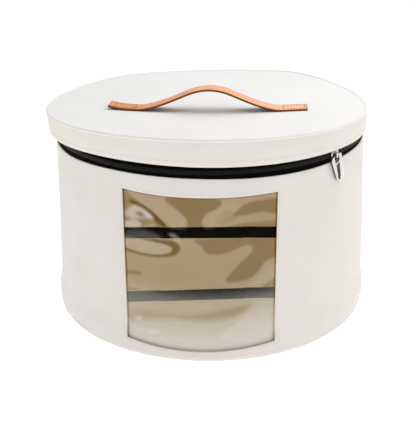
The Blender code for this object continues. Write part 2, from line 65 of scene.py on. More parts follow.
@dataclass(frozen=True)
class Measures:
    """Real sizes of the box in metres, as the part's source has them."""

    body_radius: float = 0.199
    base_flare: float = 0.006
    body_height: float = 0.2316
    wall: float = 0.002
    bottom_round: float = 0.005
    bottom_turn_in: float = 0.005
    seat_gap: float = 0.0003
    lining: float = 0.001
    window_width: float = 0.184
    window_sill: float = 0.0142
    sill_rise: float = 0.0065
    window_head: float = 0.0228
    head_rise: float = 0.0026  # of the window's upper left corner
    head_fall: float = -0.0016  # of its upper right corner
    film_margin: float = 0.008
    film: float = 0.0006
    zipper_height: float = 0.0149
    zipper_reach: float = math.radians(145.0)
    hem_overhang: float = 0.004
    hem_shift: float = -0.0015
    hem_wave: float = 0.0015
    hem_flange: float = 0.0065
    rim_overhang: float = 0.0034
    rim_shift: float = -0.0035
    rim_rise: float = 0.0223
    rim_tilt: float = 0.0085
    band: float = 0.0018
    band_bulge: float = 0.0008
    piping: float = 0.0038
    lid_panel: float = 0.002
    lid_dish: float = 0.0136
    slider_azimuth: float = math.radians(50.5)

    @property
    def hem_radius(self) -> float:
        """Outside of the lid's hem."""
        return self.body_radius + self.hem_overhang

    @property
    def rim_radius(self) -> float:
        """Outside of the piping."""
        return self.hem_radius + self.rim_overhang

    @property
    def rim_height(self) -> float:
        """Top of the piping, on average."""
        return self.body_height + self.zipper_height + self.rim_rise

    @property
    def tape_radius(self) -> float:
        """Outside of the zipper's tapes."""
        return self.body_radius - self.wall - self.seat_gap

    def wall_radius(self, height: Points) -> Points:
        """Outside of the wall: a straight taper from the floor to the top edge."""
        return self.body_radius + self.base_flare * (1 - height / self.body_height)

    def lining_radius(self, height: Points) -> Points:
        """Outside of the wall's lining, a gap inside the wall."""
        return self.wall_radius(height) - self.wall - self.seat_gap

    def window_half(self, margin: float = 0.0) -> float:
        """Half of the window's width with a margin on each side, as an azimuth."""
        return (self.window_width / 2 + margin) / self.wall_radius(self.body_height / 2)

    def window_sides(self, up: Points, margin: float = 0.0) -> Points:
        """Azimuths of the window's left and right edge, which lean apart from sill to head."""
        half = self.window_half(margin)
        left = -half - (0.5 + 3.1 * up) * MM / self.body_radius
        right = half + (3.5 * up - 1.6) * MM / self.body_radius
        return np.stack([left, right])

    def sill(self, across: Points) -> Points:
        """Lower edge of the window: a parabola, lowest in the middle."""
        return self.window_sill + self.sill_rise * across**2

    def head(self, across: Points) -> Points:
        """Upper edge of the window, with both corners drawn up."""
        left = self.head_rise * np.clip(-across, 0, 1) ** 2
        right = self.head_fall * np.clip(across, 0, 1) ** 2
        return self.body_height - self.window_head + left - right

    def rim_wave(self, azimuth: Points, share: Points) -> Points:
        """Waves of the rim: one and two in a turn, and its sag, dying away towards the lid's middle."""
        once = share * (np.cos(azimuth) + 0.09 * np.sin(azimuth))
        twice = share**2 * (0.30 * np.cos(2 * azimuth) - 0.10 * np.sin(2 * azimuth))
        return self.rim_tilt * (once + twice) - eased(azimuth, RIM_SAG) * MM * share**4

    def lid_height(self, x: Points, y: Points) -> Points:
        """Upper face of the lid's top: a paraboloid dish hung from the waved rim."""
        share = np.hypot(x - self.rim_shift, y) / self.rim_radius
        azimuth = np.arctan2(x - self.rim_shift, -y)
        edge = self.rim_height - self.piping / 2 + self.lid_panel / 2
        return edge - self.lid_dish * (1 - share**2) + self.rim_wave(azimuth, share)

    def top_edge(self, azimuth: Points) -> Points:
        """Top edge of the wall, which sags between its stiff places."""
        return self.body_height - eased(azimuth, TOP_SAG) * MM

    def hem_edge(self, azimuth: Points) -> Points:
        """Lower edge of the lid's side: the hem's wave and its sag."""
        wave = self.hem_wave * np.cos(2 * azimuth)
        return self.body_height + self.zipper_height + wave - eased(azimuth, HEM_SAG) * MM


# Azimuth in degrees and sag in millimetres
TOP_SAG: Table = (
    (-150, 0), (-110, 1.5), (-75, 2.6), (-58, 3.2), (-47, 2.6), (-38, 0.5), (-25, -0.2), (-8, 0), (4, 0.3),
    (14, 1.5), (26, 2.0), (36, 2.5), (46, 2.2), (56, 1.0), (66, 0.2), (78, 1.0), (110, 1.0), (150, 0),
)  # fmt: skip
HEM_SAG: Table = (
    (-150, 0), (-95, 5.5), (-75, 5.0), (-65, 3.8), (-52, 2.2), (-42, 0.8), (-34, 0), (-20, 0), (-8, 1.0),
    (2, 1.6), (14, 2.1), (26, 2.2), (38, 2.2), (50, 1.9), (66, 2.7), (76, 3.2), (95, 3.5), (150, 0),
)  # fmt: skip

RIM_SAG: Table = (
    (-180, 2.1), (-160, 1.6), (-148, -1.5), (-130, -1.8), (-112, 0), (0, 0), (100, 0.5), (116, -0.3),
    (126, -1.2), (134, -3.0), (144, -4.4), (152, -3.0), (162, 0.3), (172, 1.2), (180, 2.1),
)  # fmt: skip

# Azimuth in degrees and millimetres that the hem stands out further
HEM_FLARE: Table = ((-150, 0), (-100, 2.6), (-80, 2.5), (-66, 1.4), (-48, 0), (150, 0))

BOX = Measures()


def eased(azimuth: Points, table: Table) -> Points:
    """Value of a table at azimuths, as the mean over 16 degrees so that no corner shows."""
    turn = np.degrees(azimuth)[..., None] + np.linspace(-8, 8, 9)
    angle, value = np.transpose(table)
    return np.interp(turn, angle, value, period=360).mean(-1)


# Mesh making


def round_axis(radius: Points, azimuth: Points, height: Points, shift: Points = 0.0) -> Points:
    """Points at a radius and azimuth about the box's axis, moved along X by shift."""
    radius, azimuth, height, shift = np.broadcast_arrays(radius, azimuth, height, shift)
    return np.stack([radius * np.sin(azimuth) + shift, -radius * np.cos(azimuth), height], -1)


def grid_faces(rows: int, columns: int, keep: Points | None = None) -> Points:
    """Quads of a grid of rows x columns points; keep says which cells become faces."""
    number = np.arange(rows * columns).reshape(rows, columns)
    corners = (number[:-1, :-1], number[:-1, 1:], number[1:, 1:], number[1:, :-1])
    faces = np.stack(corners, -1)
    return faces.reshape(-1, 4) if keep is None else faces[keep]


def placed(name: str, data: bpy.types.ID) -> Piece:
    """A new object in the scene."""
    obj = bpy.data.objects.new(name, data)
    bpy.context.scene.collection.objects.link(obj)
    return obj


def stand(obj: Piece, axes: Points, place: Points) -> None:
    """Turns an object to its axes and stands it at a place."""
    matrix = Matrix(axes.tolist()).to_4x4()
    matrix.translation = place
    obj.matrix_world = matrix


def places_of(mesh: bpy.types.Mesh) -> Points:
    """Places of a mesh's points."""
    flat = np.empty(len(mesh.vertices) * 3, np.float32)
    mesh.vertices.foreach_get("co", flat)
    return flat.reshape(-1, 3)


def sampled(at: Points, along: Points, values: Points) -> Points:
    """A path's values in x, y and z at lengths along it."""
    return np.stack([np.interp(at, along, values[:, k]) for k in range(3)], -1)


def make_mesh(name: str, points: Points, faces: Points, uv: Points | None = None, closed: bool = True) -> Piece:
    """An object from points and quads, with doubles merged so that seams and poles close.

    Args:
        name: name of the piece.
        points: places of the points.
        faces: point numbers of each quad.
        uv: place on the cloth of each point in metres, or None.
        closed: whether it is a closed shell, whose faces are then turned outwards.

    Returns:
        The new object, smooth shaded.
    """
    mesh = bpy.data.meshes.new(name)
    mesh.from_pydata(points.reshape(-1, 3).tolist(), [], faces.tolist())
    if uv is not None:
        layer = mesh.uv_layers.new(name="Cloth")
        layer.data.foreach_set("uv", uv.reshape(-1, 2)[faces.ravel()].ravel())
    work = bmesh.new()
    work.from_mesh(mesh)
    bmesh.ops.remove_doubles(work, verts=work.verts, dist=2e-6)
    bmesh.ops.dissolve_degenerate(work, edges=work.edges, dist=1e-7)
    if closed:
        bmesh.ops.recalc_face_normals(work, faces=work.faces)
    work.to_mesh(mesh)
    work.free()
    mesh.shade_smooth()
    return placed(name, mesh)


def surface(name: str, points: Points, uv: Points | None = None, keep: Points | None = None) -> Piece:
    """An open surface from a grid of points."""
    return make_mesh(name, points, grid_faces(*points.shape[:2], keep), uv, closed=False)


def swept(name: str, sections: Points, ring: bool, uv: Points | None = None) -> Piece:
    """A closed solid through closed sections: round a ring, or capped at both ends.

    Args:
        name: name of the piece.
        sections: stations x section points x 3, each section a closed loop.
        ring: whether the last station joins the first.
        uv: places on the cloth, with the first column repeated at the end, or None.

    Returns:
        The new object.
    """
    if ring:
        sections = np.concatenate([sections, sections[:1]])
        uv = None if uv is None else np.concatenate([uv, uv[-1:] * 2 - uv[-2:-1]])
    else:
        ends = (sections[:1], sections[-1:])
        ends = [np.broadcast_to(end.mean(1, keepdims=True), end.shape) for end in ends]
        sections = np.concatenate([ends[0], sections, ends[1]])
        uv = None if uv is None else np.concatenate([uv[:1], uv, uv[-1:]])
    sections = np.concatenate([sections, sections[:, :1]], 1)
    return make_mesh(name, sections, grid_faces(*sections.shape[:2]), uv)


def thicken(obj: Piece, thickness: float, edge: float = 0.0) -> Piece:
    """Gives a surface its wall, inwards from its faces, with softened rims."""
    wall = obj.modifiers.new("wall", "SOLIDIFY")
    wall.thickness = thickness
    wall.offset = -1.0
    wall.use_even_offset = True
    if edge:
        soften(obj, edge)
    return obj


def soften(obj: Piece, width: float, angle: float = 40.0) -> None:
    """Rounds the edges of a piece that are sharper than an angle in degrees."""
    bevel = obj.modifiers.new("soft edge", "BEVEL")
    bevel.width = width
    bevel.segments = 2
    bevel.limit_method = "ANGLE"
    bevel.angle_limit = math.radians(angle)


def point_values(obj: Piece, name: str, values: Points) -> None:
    """Keeps a number for each point of a piece, which its finish reads."""
    layer = obj.data.attributes.new(name, "FLOAT", "POINT")
    layer.data.foreach_set("value", values.ravel().astype(np.float32))


def stitch_row(name: str, paths: list[Path], pitch: float, thread: float) -> Piece:
    """Rows of stitches: each one a spindle of thread that dips into the cloth at both ends.

    A stitch takes 0.72 of its pitch. At t from 0 to 1 along it the thread's radius is
    thread/2 * sqrt(sin(pi t)) and its middle stands thread/2 * (sin(pi t) - 0.35) proud.

    Args:
        name: name of the piece.
        paths: for each row its points and the outward directions there.
        pitch: length of one stitch and its gap.
        thread: diameter of the thread.

    Returns:
        One object with all stitches.
    """
    share = np.linspace(0, 1, 6)
    around = np.linspace(0, TURN, 6)
    swell = np.sin(math.pi * share).clip(0)
    grids = []
    for path, out in paths:
        along = np.append(0, np.cumsum(np.linalg.norm(np.diff(path, axis=0), axis=1)))
        count = max(1, int(along[-1] / pitch))
        at = (np.arange(count)[:, None] + 0.14 + 0.72 * share) * along[-1] / count
        place, ahead, up = (sampled(at, along, values) for values in (path, np.gradient(path, axis=0), out))
        side = np.cross(ahead, up)
        side /= np.linalg.norm(side, axis=-1, keepdims=True)
        middle = place + up * (thread / 2 * (swell - 0.35))[:, None]
        ring = up[..., None, :] * np.cos(around)[:, None] + side[..., None, :] * np.sin(around)[:, None]
        grids.append(middle[..., None, :] + (thread / 2 * np.sqrt(swell))[:, None, None] * ring)
    return many(name, np.concatenate(grids))


def many(name: str, grids: Points) -> Piece:
    """One object from many small closed grids of the same shape."""
    count, rows, columns = grids.shape[:3]
    first = np.arange(count)[:, None, None] * rows * columns
    return make_mesh(name, grids, (first + grid_faces(rows, columns)).reshape(-1, 4))


def on_wall(azimuth: Points, height: Points, radius: Points, shift: Points = 0.0) -> Path:
    """A path on a round wall, with its outward directions."""
    path = round_axis(radius, azimuth, height, shift)
    azimuth = np.broadcast_to(azimuth, path.shape[:-1])
    return path, np.stack([np.sin(azimuth), -np.cos(azimuth), 0 * azimuth], -1)


# Finishes


def linear(code: str) -> tuple[float, float, float, float]:
    """An sRGB hex colour as linear red, green, blue and full alpha."""
    value = np.array([int(code[i : i + 2], 16) for i in (0, 2, 4)]) / 255
    low, high = value / 12.92, ((value + 0.055) / 1.055) ** 2.4
    return (*np.where(value <= 0.04045, low, high).tolist(), 1.0)


def add(tree: Tree, kind: str, inputs: dict | None = None, **settings: object) -> Node:
    """Adds a node with its settings, and sets or links its inputs.

    Args:
        tree: the node tree.
        kind: the node's type, without ShaderNode in front.
        inputs: input names or numbers with a value, or the socket or node to link from.
        **settings: properties of the node itself.

    Returns:
        The new node.
    """
    made = tree.nodes.new("ShaderNode" + kind)
    for key, value in settings.items():
        setattr(made, key, value)
    for key, value in (inputs or {}).items():
        if isinstance(value, Node):
            value = value.outputs[0]
        if isinstance(value, Socket):
            tree.links.new(value, made.inputs[key])
        else:
            made.inputs[key].default_value = value
    return made


@dataclass(frozen=True)
class Finish:
    """A finish that runs between a light and a dark shade, with its own relief."""

    name: str
    light: str
    dark: str
    roughness: float
    relief: float  # metres

    def material(self) -> bpy.types.Material:
        """The finish as a material: its pattern sets colour, roughness and bump."""
        material = bpy.data.materials.new(self.name)
        material.use_nodes = True
        tree = material.node_tree
        shader = tree.nodes["Principled BSDF"]
        place = add(tree, "TexCoord").outputs["Object"]
        shade, height = self.pattern(tree, place)
        span = {0: shade, 6: linear(self.light), 7: linear(self.dark)}
        colour = add(tree, "Mix", span, data_type="RGBA").outputs[2]
        wear = add(tree, "TexNoise", {"Vector": place, "Scale": 90.0, "Detail": 3.0})
        span = {"Value": wear, "To Min": self.roughness - 0.07, "To Max": self.roughness + 0.07}
        rough = add(tree, "MapRange", span)
        bump = add(tree, "Bump", {"Height": height, "Distance": self.relief, "Strength": 0.6})
        tree.links.new(colour, shader.inputs["Base Color"])
        tree.links.new(rough.outputs[0], shader.inputs["Roughness"])
        tree.links.new(bump.outputs[0], shader.inputs["Normal"])
        self.complete(tree, shader, colour)
        return material

    def pattern(self, tree: Tree, place: Socket) -> tuple:
        """Shade from light (0) to dark (1), and height of the relief."""
        raise NotImplementedError

    def complete(self, tree: Tree, shader: Node, colour: Socket) -> None:
        """What else the finish sets on its shader."""


@dataclass(frozen=True)
class WovenCloth(Finish):
    """Plain-woven cloth, drawn on the piece's own cloth coordinates in metres.

    The threads cross as sin(x) * sin(y), which lifts and darkens every other crossing.
    """

    thread: float = 1.1 * MM  # pitch of the weave, about twice the real one so that it renders
    mottle: float = 60 * MM  # size of the clouds of shade
    ribs: bool = False  # ribbed along the piece instead of crossed threads
    # painted light: the cloth emits its own colour at this strength, standing in for light through the thin
    # cloth behind it
    painted_glow: float = 0.0  # light that comes through the thin cloth behind it
    gloss: float = 0.2

    def pattern(self, tree: Tree, place: Socket) -> tuple:
        """Crossed threads or ribs for the height; threads, slubs and slow clouds for the shade."""
        turns = (math.pi / self.thread, math.pi / self.thread, 0)
        cloth = add(tree, "UVMap", uv_map="Cloth")
        scaled = add(tree, "VectorMath", {0: cloth, 1: turns}, operation="MULTIPLY")
        split = add(tree, "SeparateXYZ", {0: scaled})
        warp = add(tree, "Math", {0: split.outputs["X"]}, operation="SINE")
        weft = add(tree, "Math", {0: split.outputs["Y"]}, operation="SINE")
        crossed = add(tree, "Math", {0: warp, 1: weft}, operation="MULTIPLY")
        if self.ribs:
            crossed = add(tree, "Math", {0: weft}, operation="ABSOLUTE")
        cloud = add(tree, "TexNoise", {"Vector": place, "Scale": 1 / self.mottle, "Detail": 3.0})
        slub = add(tree, "TexNoise", {"Vector": place, "Scale": 0.35 / self.thread, "Detail": 2.0})
        span = {"Value": crossed, "From Min": -1.0, "To Min": 0.3, "To Max": 0.0}
        shade = add(tree, "MapRange", span)
        shade = add(tree, "Math", {0: cloud, 1: 0.9, 2: shade}, operation="MULTIPLY_ADD")
        shade = add(tree, "Math", {0: slub, 1: 0.5, 2: shade}, operation="MULTIPLY_ADD")
        shade = add(tree, "Math", {0: shade, 1: 0.45}, operation="SUBTRACT", use_clamp=True)
        return shade, add(tree, "Math", {0: slub, 1: 0.6, 2: crossed}, operation="MULTIPLY_ADD")

    def complete(self, tree: Tree, shader: Node, colour: Socket) -> None:
        """A low gloss, and a painted glow that stands in for light through thin cloth."""
        shader.inputs["Specular IOR Level"].default_value = self.gloss
        if self.painted_glow:
            tree.links.new(colour, shader.inputs["Emission Color"])
            shader.inputs["Emission Strength"].default_value = self.painted_glow


@dataclass(frozen=True)
class Leather(Finish):
    """Cowhide with dye clouds, grain cells and cut edges that are darker, and an underside painted dark as
    shade.
    """

    far: str = ""  # shade at the strap's right end
    edge: str = ""
    grain: float = 1.3 * MM
    clouds: float = 42.0  # of dye, to the metre

    def pattern(self, tree: Tree, place: Socket) -> tuple:
        """Creases between grain cells for the height, dye clouds and creases for the shade."""
        spec = {"Vector": place, "Scale": 1 / self.grain}
        cells = add(tree, "TexVoronoi", spec, feature="DISTANCE_TO_EDGE")
        crease = add(tree, "MapRange", {"Value": cells, "From Max": 0.14})
        spec = {"Vector": place, "Scale": self.clouds, "Detail": 5.0, "Roughness": 0.62}
        dye = add(tree, "TexNoise", spec)
        shade = add(tree, "MapRange", {"Value": dye, "From Min": 0.4, "From Max": 0.72})
        span = {0: crease, 1: -0.12, 2: shade}
        shade = add(tree, "Math", span, operation="MULTIPLY_ADD", use_clamp=True)
        return shade, crease

    def complete(self, tree: Tree, shader: Node, colour: Socket) -> None:
        """Colour that runs towards the far colour along the strap to its right end, and the dark cut edge,
        which the underside takes too as painted shade, from the piece's own values.
        """
        place = add(tree, "TexCoord").outputs["Object"]
        split = add(tree, "SeparateXYZ", {0: place})
        # Lighter and pinker from X -0.1 m to its right end
        span = {"Value": split, "From Min": -0.1, "From Max": 0.1, "To Max": 0.9}
        fade = add(tree, "MapRange", span)
        faded = add(tree, "Mix", {0: fade, 6: colour, 7: linear(self.far)}, data_type="RGBA")
        # The cut edge colour also covers the strap's underside: painted shade
        cut = add(tree, "Attribute", attribute_name="cut_edge_and_underside_shade").outputs["Fac"]
        span = {0: cut, 6: faded.outputs[2], 7: linear(self.edge)}
        whole = add(tree, "Mix", span, data_type="RGBA")
        tree.links.new(whole.outputs[2], shader.inputs["Base Color"])
        shader.inputs["IOR"].default_value = 1.5
        shader.inputs["Specular IOR Level"].default_value = 0.25


@dataclass(frozen=True)
class ClearFilm(Finish):
    """Soft clear sheet: tinted where it is seen through, with painted milky glare where its folds would catch
    light, and a faint real gloss.

    The light and dark shades are those of the milk. The tint is partly the sheet's brown where it doubles and
    partly painted shade and dark reflections in its folds and along its edges; the piece keeps its painted haze
    and tint per point.
    """

    thin: str = ""
    thick: str = ""
    gloss: float = 0.003  # share of the light that the sheet mirrors

    def pattern(self, tree: Tree, place: Socket) -> tuple:
        """Slow smears from rolling the sheet, for both shade and height."""
        spec = {"Vector": place, "Scale": 26.0, "Detail": 4.0, "Distortion": 0.8}
        smear = add(tree, "TexNoise", spec)
        return smear, smear

    def complete(self, tree: Tree, shader: Node, colour: Socket) -> None:
        """Clear sheet with its tint and painted shade and a faint mirror, under the milk of its painted haze
        and glare.
        """
        haze_and_glare = add(tree, "Attribute", attribute_name="haze_and_glare").outputs["Fac"]
        tint_and_shade = add(tree, "Attribute", attribute_name="tint_and_shade").outputs["Fac"]
        span = {0: tint_and_shade, 6: linear(self.thin), 7: linear(self.thick)}
        through = add(tree, "Mix", span, data_type="RGBA").outputs[2]
        clear = add(tree, "BsdfTransparent", {"Color": through})
        mirror = add(tree, "BsdfAnisotropic", {"Roughness": 0.08})
        sheet = add(tree, "MixShader", {0: self.gloss, 1: clear, 2: mirror})
        whole = add(tree, "MixShader", {0: haze_and_glare, 1: sheet, 2: shader})
        tree.links.new(whole.outputs[0], tree.nodes["Material Output"].inputs["Surface"])
        shader.inputs["IOR"].default_value = 1.53


@dataclass(frozen=True)
class Smooth(Finish):
    """Cast metal or drawn filament: an even surface with clouds of wear or twist."""

    cloud: float = 4 * MM
    metal: bool = False

    def pattern(self, tree: Tree, place: Socket) -> tuple:
        """Small clouds for both shade and height."""
        cloud = add(tree, "TexNoise", {"Vector": place, "Scale": 1 / self.cloud, "Detail": 4.0})
        return cloud, cloud

    def complete(self, tree: Tree, shader: Node, colour: Socket) -> None:
        """Metal, or a low gloss."""
        shader.inputs["Metallic"].default_value = float(self.metal)
        if not self.metal:
            shader.inputs["Specular IOR Level"].default_value = 0.3


class Finishes(Enum):
    """The finishes of the box's pieces."""

    # Polyester canvas stiffened with a coating: matt, nearly white, threads hardly seen
    BODY_CANVAS = WovenCloth("coated polyester canvas, body", "EAE7E5", "DEDAD6", 0.85, 0.05 * MM)
    LID_CANVAS = WovenCloth("coated polyester canvas, lid", "F0EFED", "E7E5E2", 0.82, 0.05 * MM)
    # The same canvas on the lid's side, painted a little darker and warmer as shade
    SHADED_SIDE_CANVAS = WovenCloth("coated polyester canvas, lid side", "ECE9E4", "E3DFD9", 0.84, 0.05 * MM)
    # Tan polyester lining, calendered: soft and even, with a painted glow that stands in for light through the
    # thin cloth behind it
    LINING = WovenCloth("calendered polyester lining", "C4BAA7", "B8AE9A", 0.6, 0.06 * MM, 1.4 * MM, painted_glow=0.5)
    # Polypropylene webbing, woven with raised ribs along it
    WEBBING = WovenCloth(
        "woven polypropylene webbing", "070707", "020202", 0.9, 0.25 * MM, 1.6 * MM, ribs=True, gloss=0.05
    )
    # Polyester zipper tape, woven in fine ribs along the chain
    TAPE = WovenCloth(
        "woven polyester zipper tape", "090908", "020202", 0.85, 0.15 * MM, 1.3 * MM, ribs=True, gloss=0.05
    )
    # Nylon monofilament dyed in the mass: a low gloss on each coil
    TEETH = Smooth("drawn nylon coil", "1A1A19", "0C0C0B", 0.4, 0.05 * MM, 1 * MM)
    CANVAS_THREAD = Smooth("spun polyester thread, off-white", "EFEDEA", "DCD8D2", 0.8, 0.08 * MM, 0.9 * MM)
    HANDLE_THREAD = Smooth("waxed polyester thread, brown", "8C5434", "6E3C22", 0.6, 0.08 * MM, 0.9 * MM)
    # Zinc casting tumbled smooth under nickel: bright, with darker oxide left in its recesses; the same dark
    # finish is painted on the pull's sides and on rounded edges as shade
    NICKEL = Smooth("nickel-plated zinc die casting", "D9D8D4", "B4B3AF", 0.16, 0.05 * MM, metal=True)
    RECESS_AND_EDGE_SHADE = Smooth("oxidised nickel plate in recesses", "4E4D4A", "2A2927", 0.4, 0.08 * MM, metal=True)
    # Vegetable-tanned leather, waxed on its face, its cut edges dyed and burnished darker, its underside
    # painted dark as shade
    STRAP = Leather("vegetable-tanned leather", "ED9F6B", "C4733F", 0.6, 0.12 * MM, "FFC29C", "6B3A20")
    # Extruded soft PVC: hardly tinted when flat, brown where it doubles in a fold; the brown also paints shade
    # and dark reflections, and the milk paints glare
    FILM = ClearFilm("extruded clear PVC film", "F4F1EE", "ECE8E3", 0.12, 0.02 * MM, "F5F1EA", "C3B184")


@functools.cache
def material_of(finish: Finishes) -> bpy.types.Material:
    """The one material of a finish."""
    return finish.value.material()


@dataclass
class Assembly:
    """Pieces that move with one CAD body."""

    body: str = "box"
    pieces: list[Piece] = field(default_factory=list)

    def dress(self, obj: Piece, finish: Finishes, slot: str, *nodes: str) -> Piece:
        """Gives a piece its material and body, and hides the CAD nodes that it stands for.

        Args:
            obj: the piece.
            finish: its finish.
            slot: the record's material slot; not used.
            *nodes: the CAD nodes that it replaces.

        Returns:
            The same piece.
        """
        obj.data.materials.clear()
        obj.data.materials.append(material_of(finish))
        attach(obj, self.body)
        if nodes:
            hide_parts(*nodes)
        self.pieces.append(obj)
        return obj

    def report(self) -> None:
        """Logs each piece."""
        for obj in self.pieces:
            log.info("%s: %s, %d faces", type(self).__name__, obj.name, len(obj.data.polygons))


# Body


@dataclass(frozen=True)
class Hollow:
    """A soft hollow or swell of a stiffened wall: a bell over azimuth and height."""

    azimuth: float  # degrees
    height: float  # share of the wall's height
    spread: float  # half-width in degrees
    tall: float  # half-height as a share of the wall's height
    depth: float  # millimetres, positive inwards


@dataclass
class BodyShell(Assembly):
    """The tapered wall with its window opening, the base board and their sewing."""

    columns: int = 288
    window_columns: int = 44
    stitch_pitch: float = 3.4 * MM
    thread: float = 0.55 * MM
    seam_margin: float = 3.2 * MM  # of the stitches round the window
    top_margin: float = 3.4 * MM  # of the stitches below the top edge
    foot_margin: float = 7.5 * MM
    foot_roll: float = 1.8 * MM  # that the foot stands out round the base board
    foot_share: float = 0.17  # of the height, up to which it does
    foot_ease: float = 0.05  # share of the height over which it ends
    hold: float = 0.06  # share of the height at both edges over which the hollows fade
    hollows: tuple[Hollow, ...] = (
        Hollow(-100, 0.09, 45, 0.07, -1.2),
        Hollow(100, 0.09, 45, 0.07, -1.4),
        Hollow(92, 0.34, 34, 0.40, -2.0),
        Hollow(-62, 0.55, 22, 0.50, 0.9),
        Hollow(-36, 0.86, 15, 0.16, 0.7),
        Hollow(38, 0.84, 12, 0.20, 0.8),
        Hollow(58, 0.42, 20, 0.40, 1.0),
        Hollow(84, 0.60, 16, 0.45, -0.7),
        Hollow(-96, 0.40, 18, 0.40, -0.6),
        Hollow(140, 0.50, 26, 0.50, 1.0),
        Hollow(-150, 0.45, 24, 0.50, 0.9),
        Hollow(0, 0.04, 30, 0.05, -0.5),
    )

    def radius(self, azimuth: Points, height: Points) -> Points:
        """Outside of the wall: the taper less a bell for each hollow, with a soft step at its foot."""
        share = height / BOX.body_height
        hold = np.clip(np.minimum(share, 1 - share) / self.hold, 0, 1)
        sunk = 0.0
        for hollow in self.hollows:
            turn = (np.degrees(azimuth) - hollow.azimuth + 180) % 360 - 180
            bell = (turn / hollow.spread) ** 2 + ((share - hollow.height) / hollow.tall) ** 2
            sunk = sunk + hollow.depth * MM * np.exp(-bell)
        step = np.clip((self.foot_share - share) / self.foot_ease, 0, 1)
        return BOX.wall_radius(height) - sunk * hold + self.foot_roll * step**2 * (3 - 2 * step)

    def wall(self) -> Piece:
        """The wall: rows follow the window's sill and head, and its cells there are left out."""
        inside = np.linspace(-1, 1, self.window_columns + 1)
        outside = np.linspace(0, 1, self.columns - self.window_columns + 1)[1:]
        across = np.concatenate([inside, np.sign(0.5 - outside)])
        bend = np.linspace(math.pi / 2, 0, 6)
        centre = BOX.wall_radius(BOX.bottom_round) - BOX.bottom_round + self.foot_roll
        inner = centre - BOX.bottom_turn_in - self.foot_roll
        foot_radius = np.append(inner, centre + BOX.bottom_round * np.cos(bend))
        foot_height = np.append(0.0, BOX.bottom_round * (1 - np.sin(bend)))
        low, middle, high = 6, 30, 8
        below = np.zeros(len(foot_height) + low - 1)
        up = np.concatenate([below, np.linspace(0, 1, middle)[1:], np.ones(high - 1)])
        left, right = BOX.window_sides(up[:, None])
        azimuth = np.concatenate(
            [left + (right - left) * (inside + 1) / 2, right + (TURN + left - right) * outside], 1
        )
        sill, head = BOX.sill(across), BOX.head(across)
        top = BOX.top_edge(azimuth[-1])
        above = [np.linspace(BOX.bottom_round, sill, low)[1:], np.linspace(sill, head, middle)[1:]]
        above = np.concatenate([*above, np.linspace(head, top, high)[1:]])
        foot = np.broadcast_to(foot_height[:, None], (len(foot_height), len(across)))
        height = np.concatenate([foot, above])
        radius = self.radius(azimuth, height)
        radius[: len(foot_radius)] = foot_radius[:, None]
        uv = np.stack([azimuth * BOX.body_radius, height], -1)
        keep = np.ones((len(height) - 1, len(across) - 1), bool)
        first = len(foot_height) + low - 2
        keep[first : first + middle - 1, : self.window_columns] = False
        wall = surface("canvas_wall", round_axis(radius, azimuth, height), uv, keep)
        return thicken(wall, BOX.wall, 0.45 * MM)

    def window_seam(self, margin: float) -> list[Path]:
        """Four rows of stitches round the window, at a margin outside its edge."""
        share = np.linspace(0, 1, 90)
        across = np.clip(share * 2.06 - 1.03, -1, 1)
        rows = []
        for up, level in ((0.0, BOX.sill(across) - margin), (1.0, BOX.head(across) + margin)):
            left, right = BOX.window_sides(up, margin)
            rows.append((left + (right - left) * share, level))
        for side in (0, 1):
            azimuth = BOX.window_sides(share, margin)[side]
            rows.append((azimuth, rows[0][1][-side] + (rows[1][1][-side] - rows[0][1][-side]) * share))
        return [on_wall(turn, level, self.radius(turn, level)) for turn, level in rows]

    def sewing(self) -> Piece:
        """Topstitching round the window, along the top edge, above the base and down the back."""
        azimuth = np.linspace(0, TURN, 721)
        rows = self.window_seam(self.seam_margin)
        for height in (BOX.top_edge(azimuth) - self.top_margin, np.full_like(azimuth, self.foot_margin)):
            rows.append(on_wall(azimuth, height, self.radius(azimuth, height)))
        height = np.linspace(0.012, BOX.body_height - 0.006, 80)
        for side in (-1, 1):
            turn = np.full_like(height, math.pi + side * 3.0 * MM / BOX.body_radius)
            rows.append(on_wall(turn, height, self.radius(turn, height)))
        return stitch_row("canvas_wall_stitches", rows, self.stitch_pitch, self.thread)

    def base(self) -> Piece:
        """The base board in its canvas: a flat disc with a rounded edge."""
        low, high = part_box("base_panel")
        radius, edge = high.x, (high.z - low.z) / 2
        bend = np.linspace(-math.pi / 2, math.pi / 2, 7)
        reach = np.concatenate([[0, radius / 2], radius - edge + edge * np.cos(bend), [radius / 2, 0]])
        level = low.z + edge * (1 + np.concatenate([[-1, -1], np.sin(bend), [1, 1]]))
        points = round_axis(reach[:, None], np.linspace(0, TURN, 97), level[:, None])
        return make_mesh("base_board", points, grid_faces(*points.shape[:2]), points[..., :2])

    def build(self) -> None:
        """Makes and dresses the body's pieces."""
        wall = self.dress(self.wall(), Finishes.BODY_CANVAS, "body_cloth", "body_wall")
        self.dress(self.base(), Finishes.BODY_CANVAS, "body_cloth", "base_panel")
        self.dress(self.sewing(), Finishes.CANVAS_THREAD, "body_cloth")


# Window


@dataclass(frozen=True)
class Fold:
    """A fold of the slack film: a smooth outline, with what it adds to the film: a real dent, a tint that is
    partly painted shade and dark reflection, and a milk that is painted glare.

    Outline points are per cents of the window's width from its left edge and of its height.
    """

    outline: Table
    # tint: partly the doubled sheet's brown, partly painted shade and dark reflection; haze: painted glare
    tint_and_shade: float = 0.0
    haze_and_glare: float = 0.0
    depth: float = 0.0  # millimetres inwards
    soft: float = 0.7  # width of its blurred rim, in rows of the grid


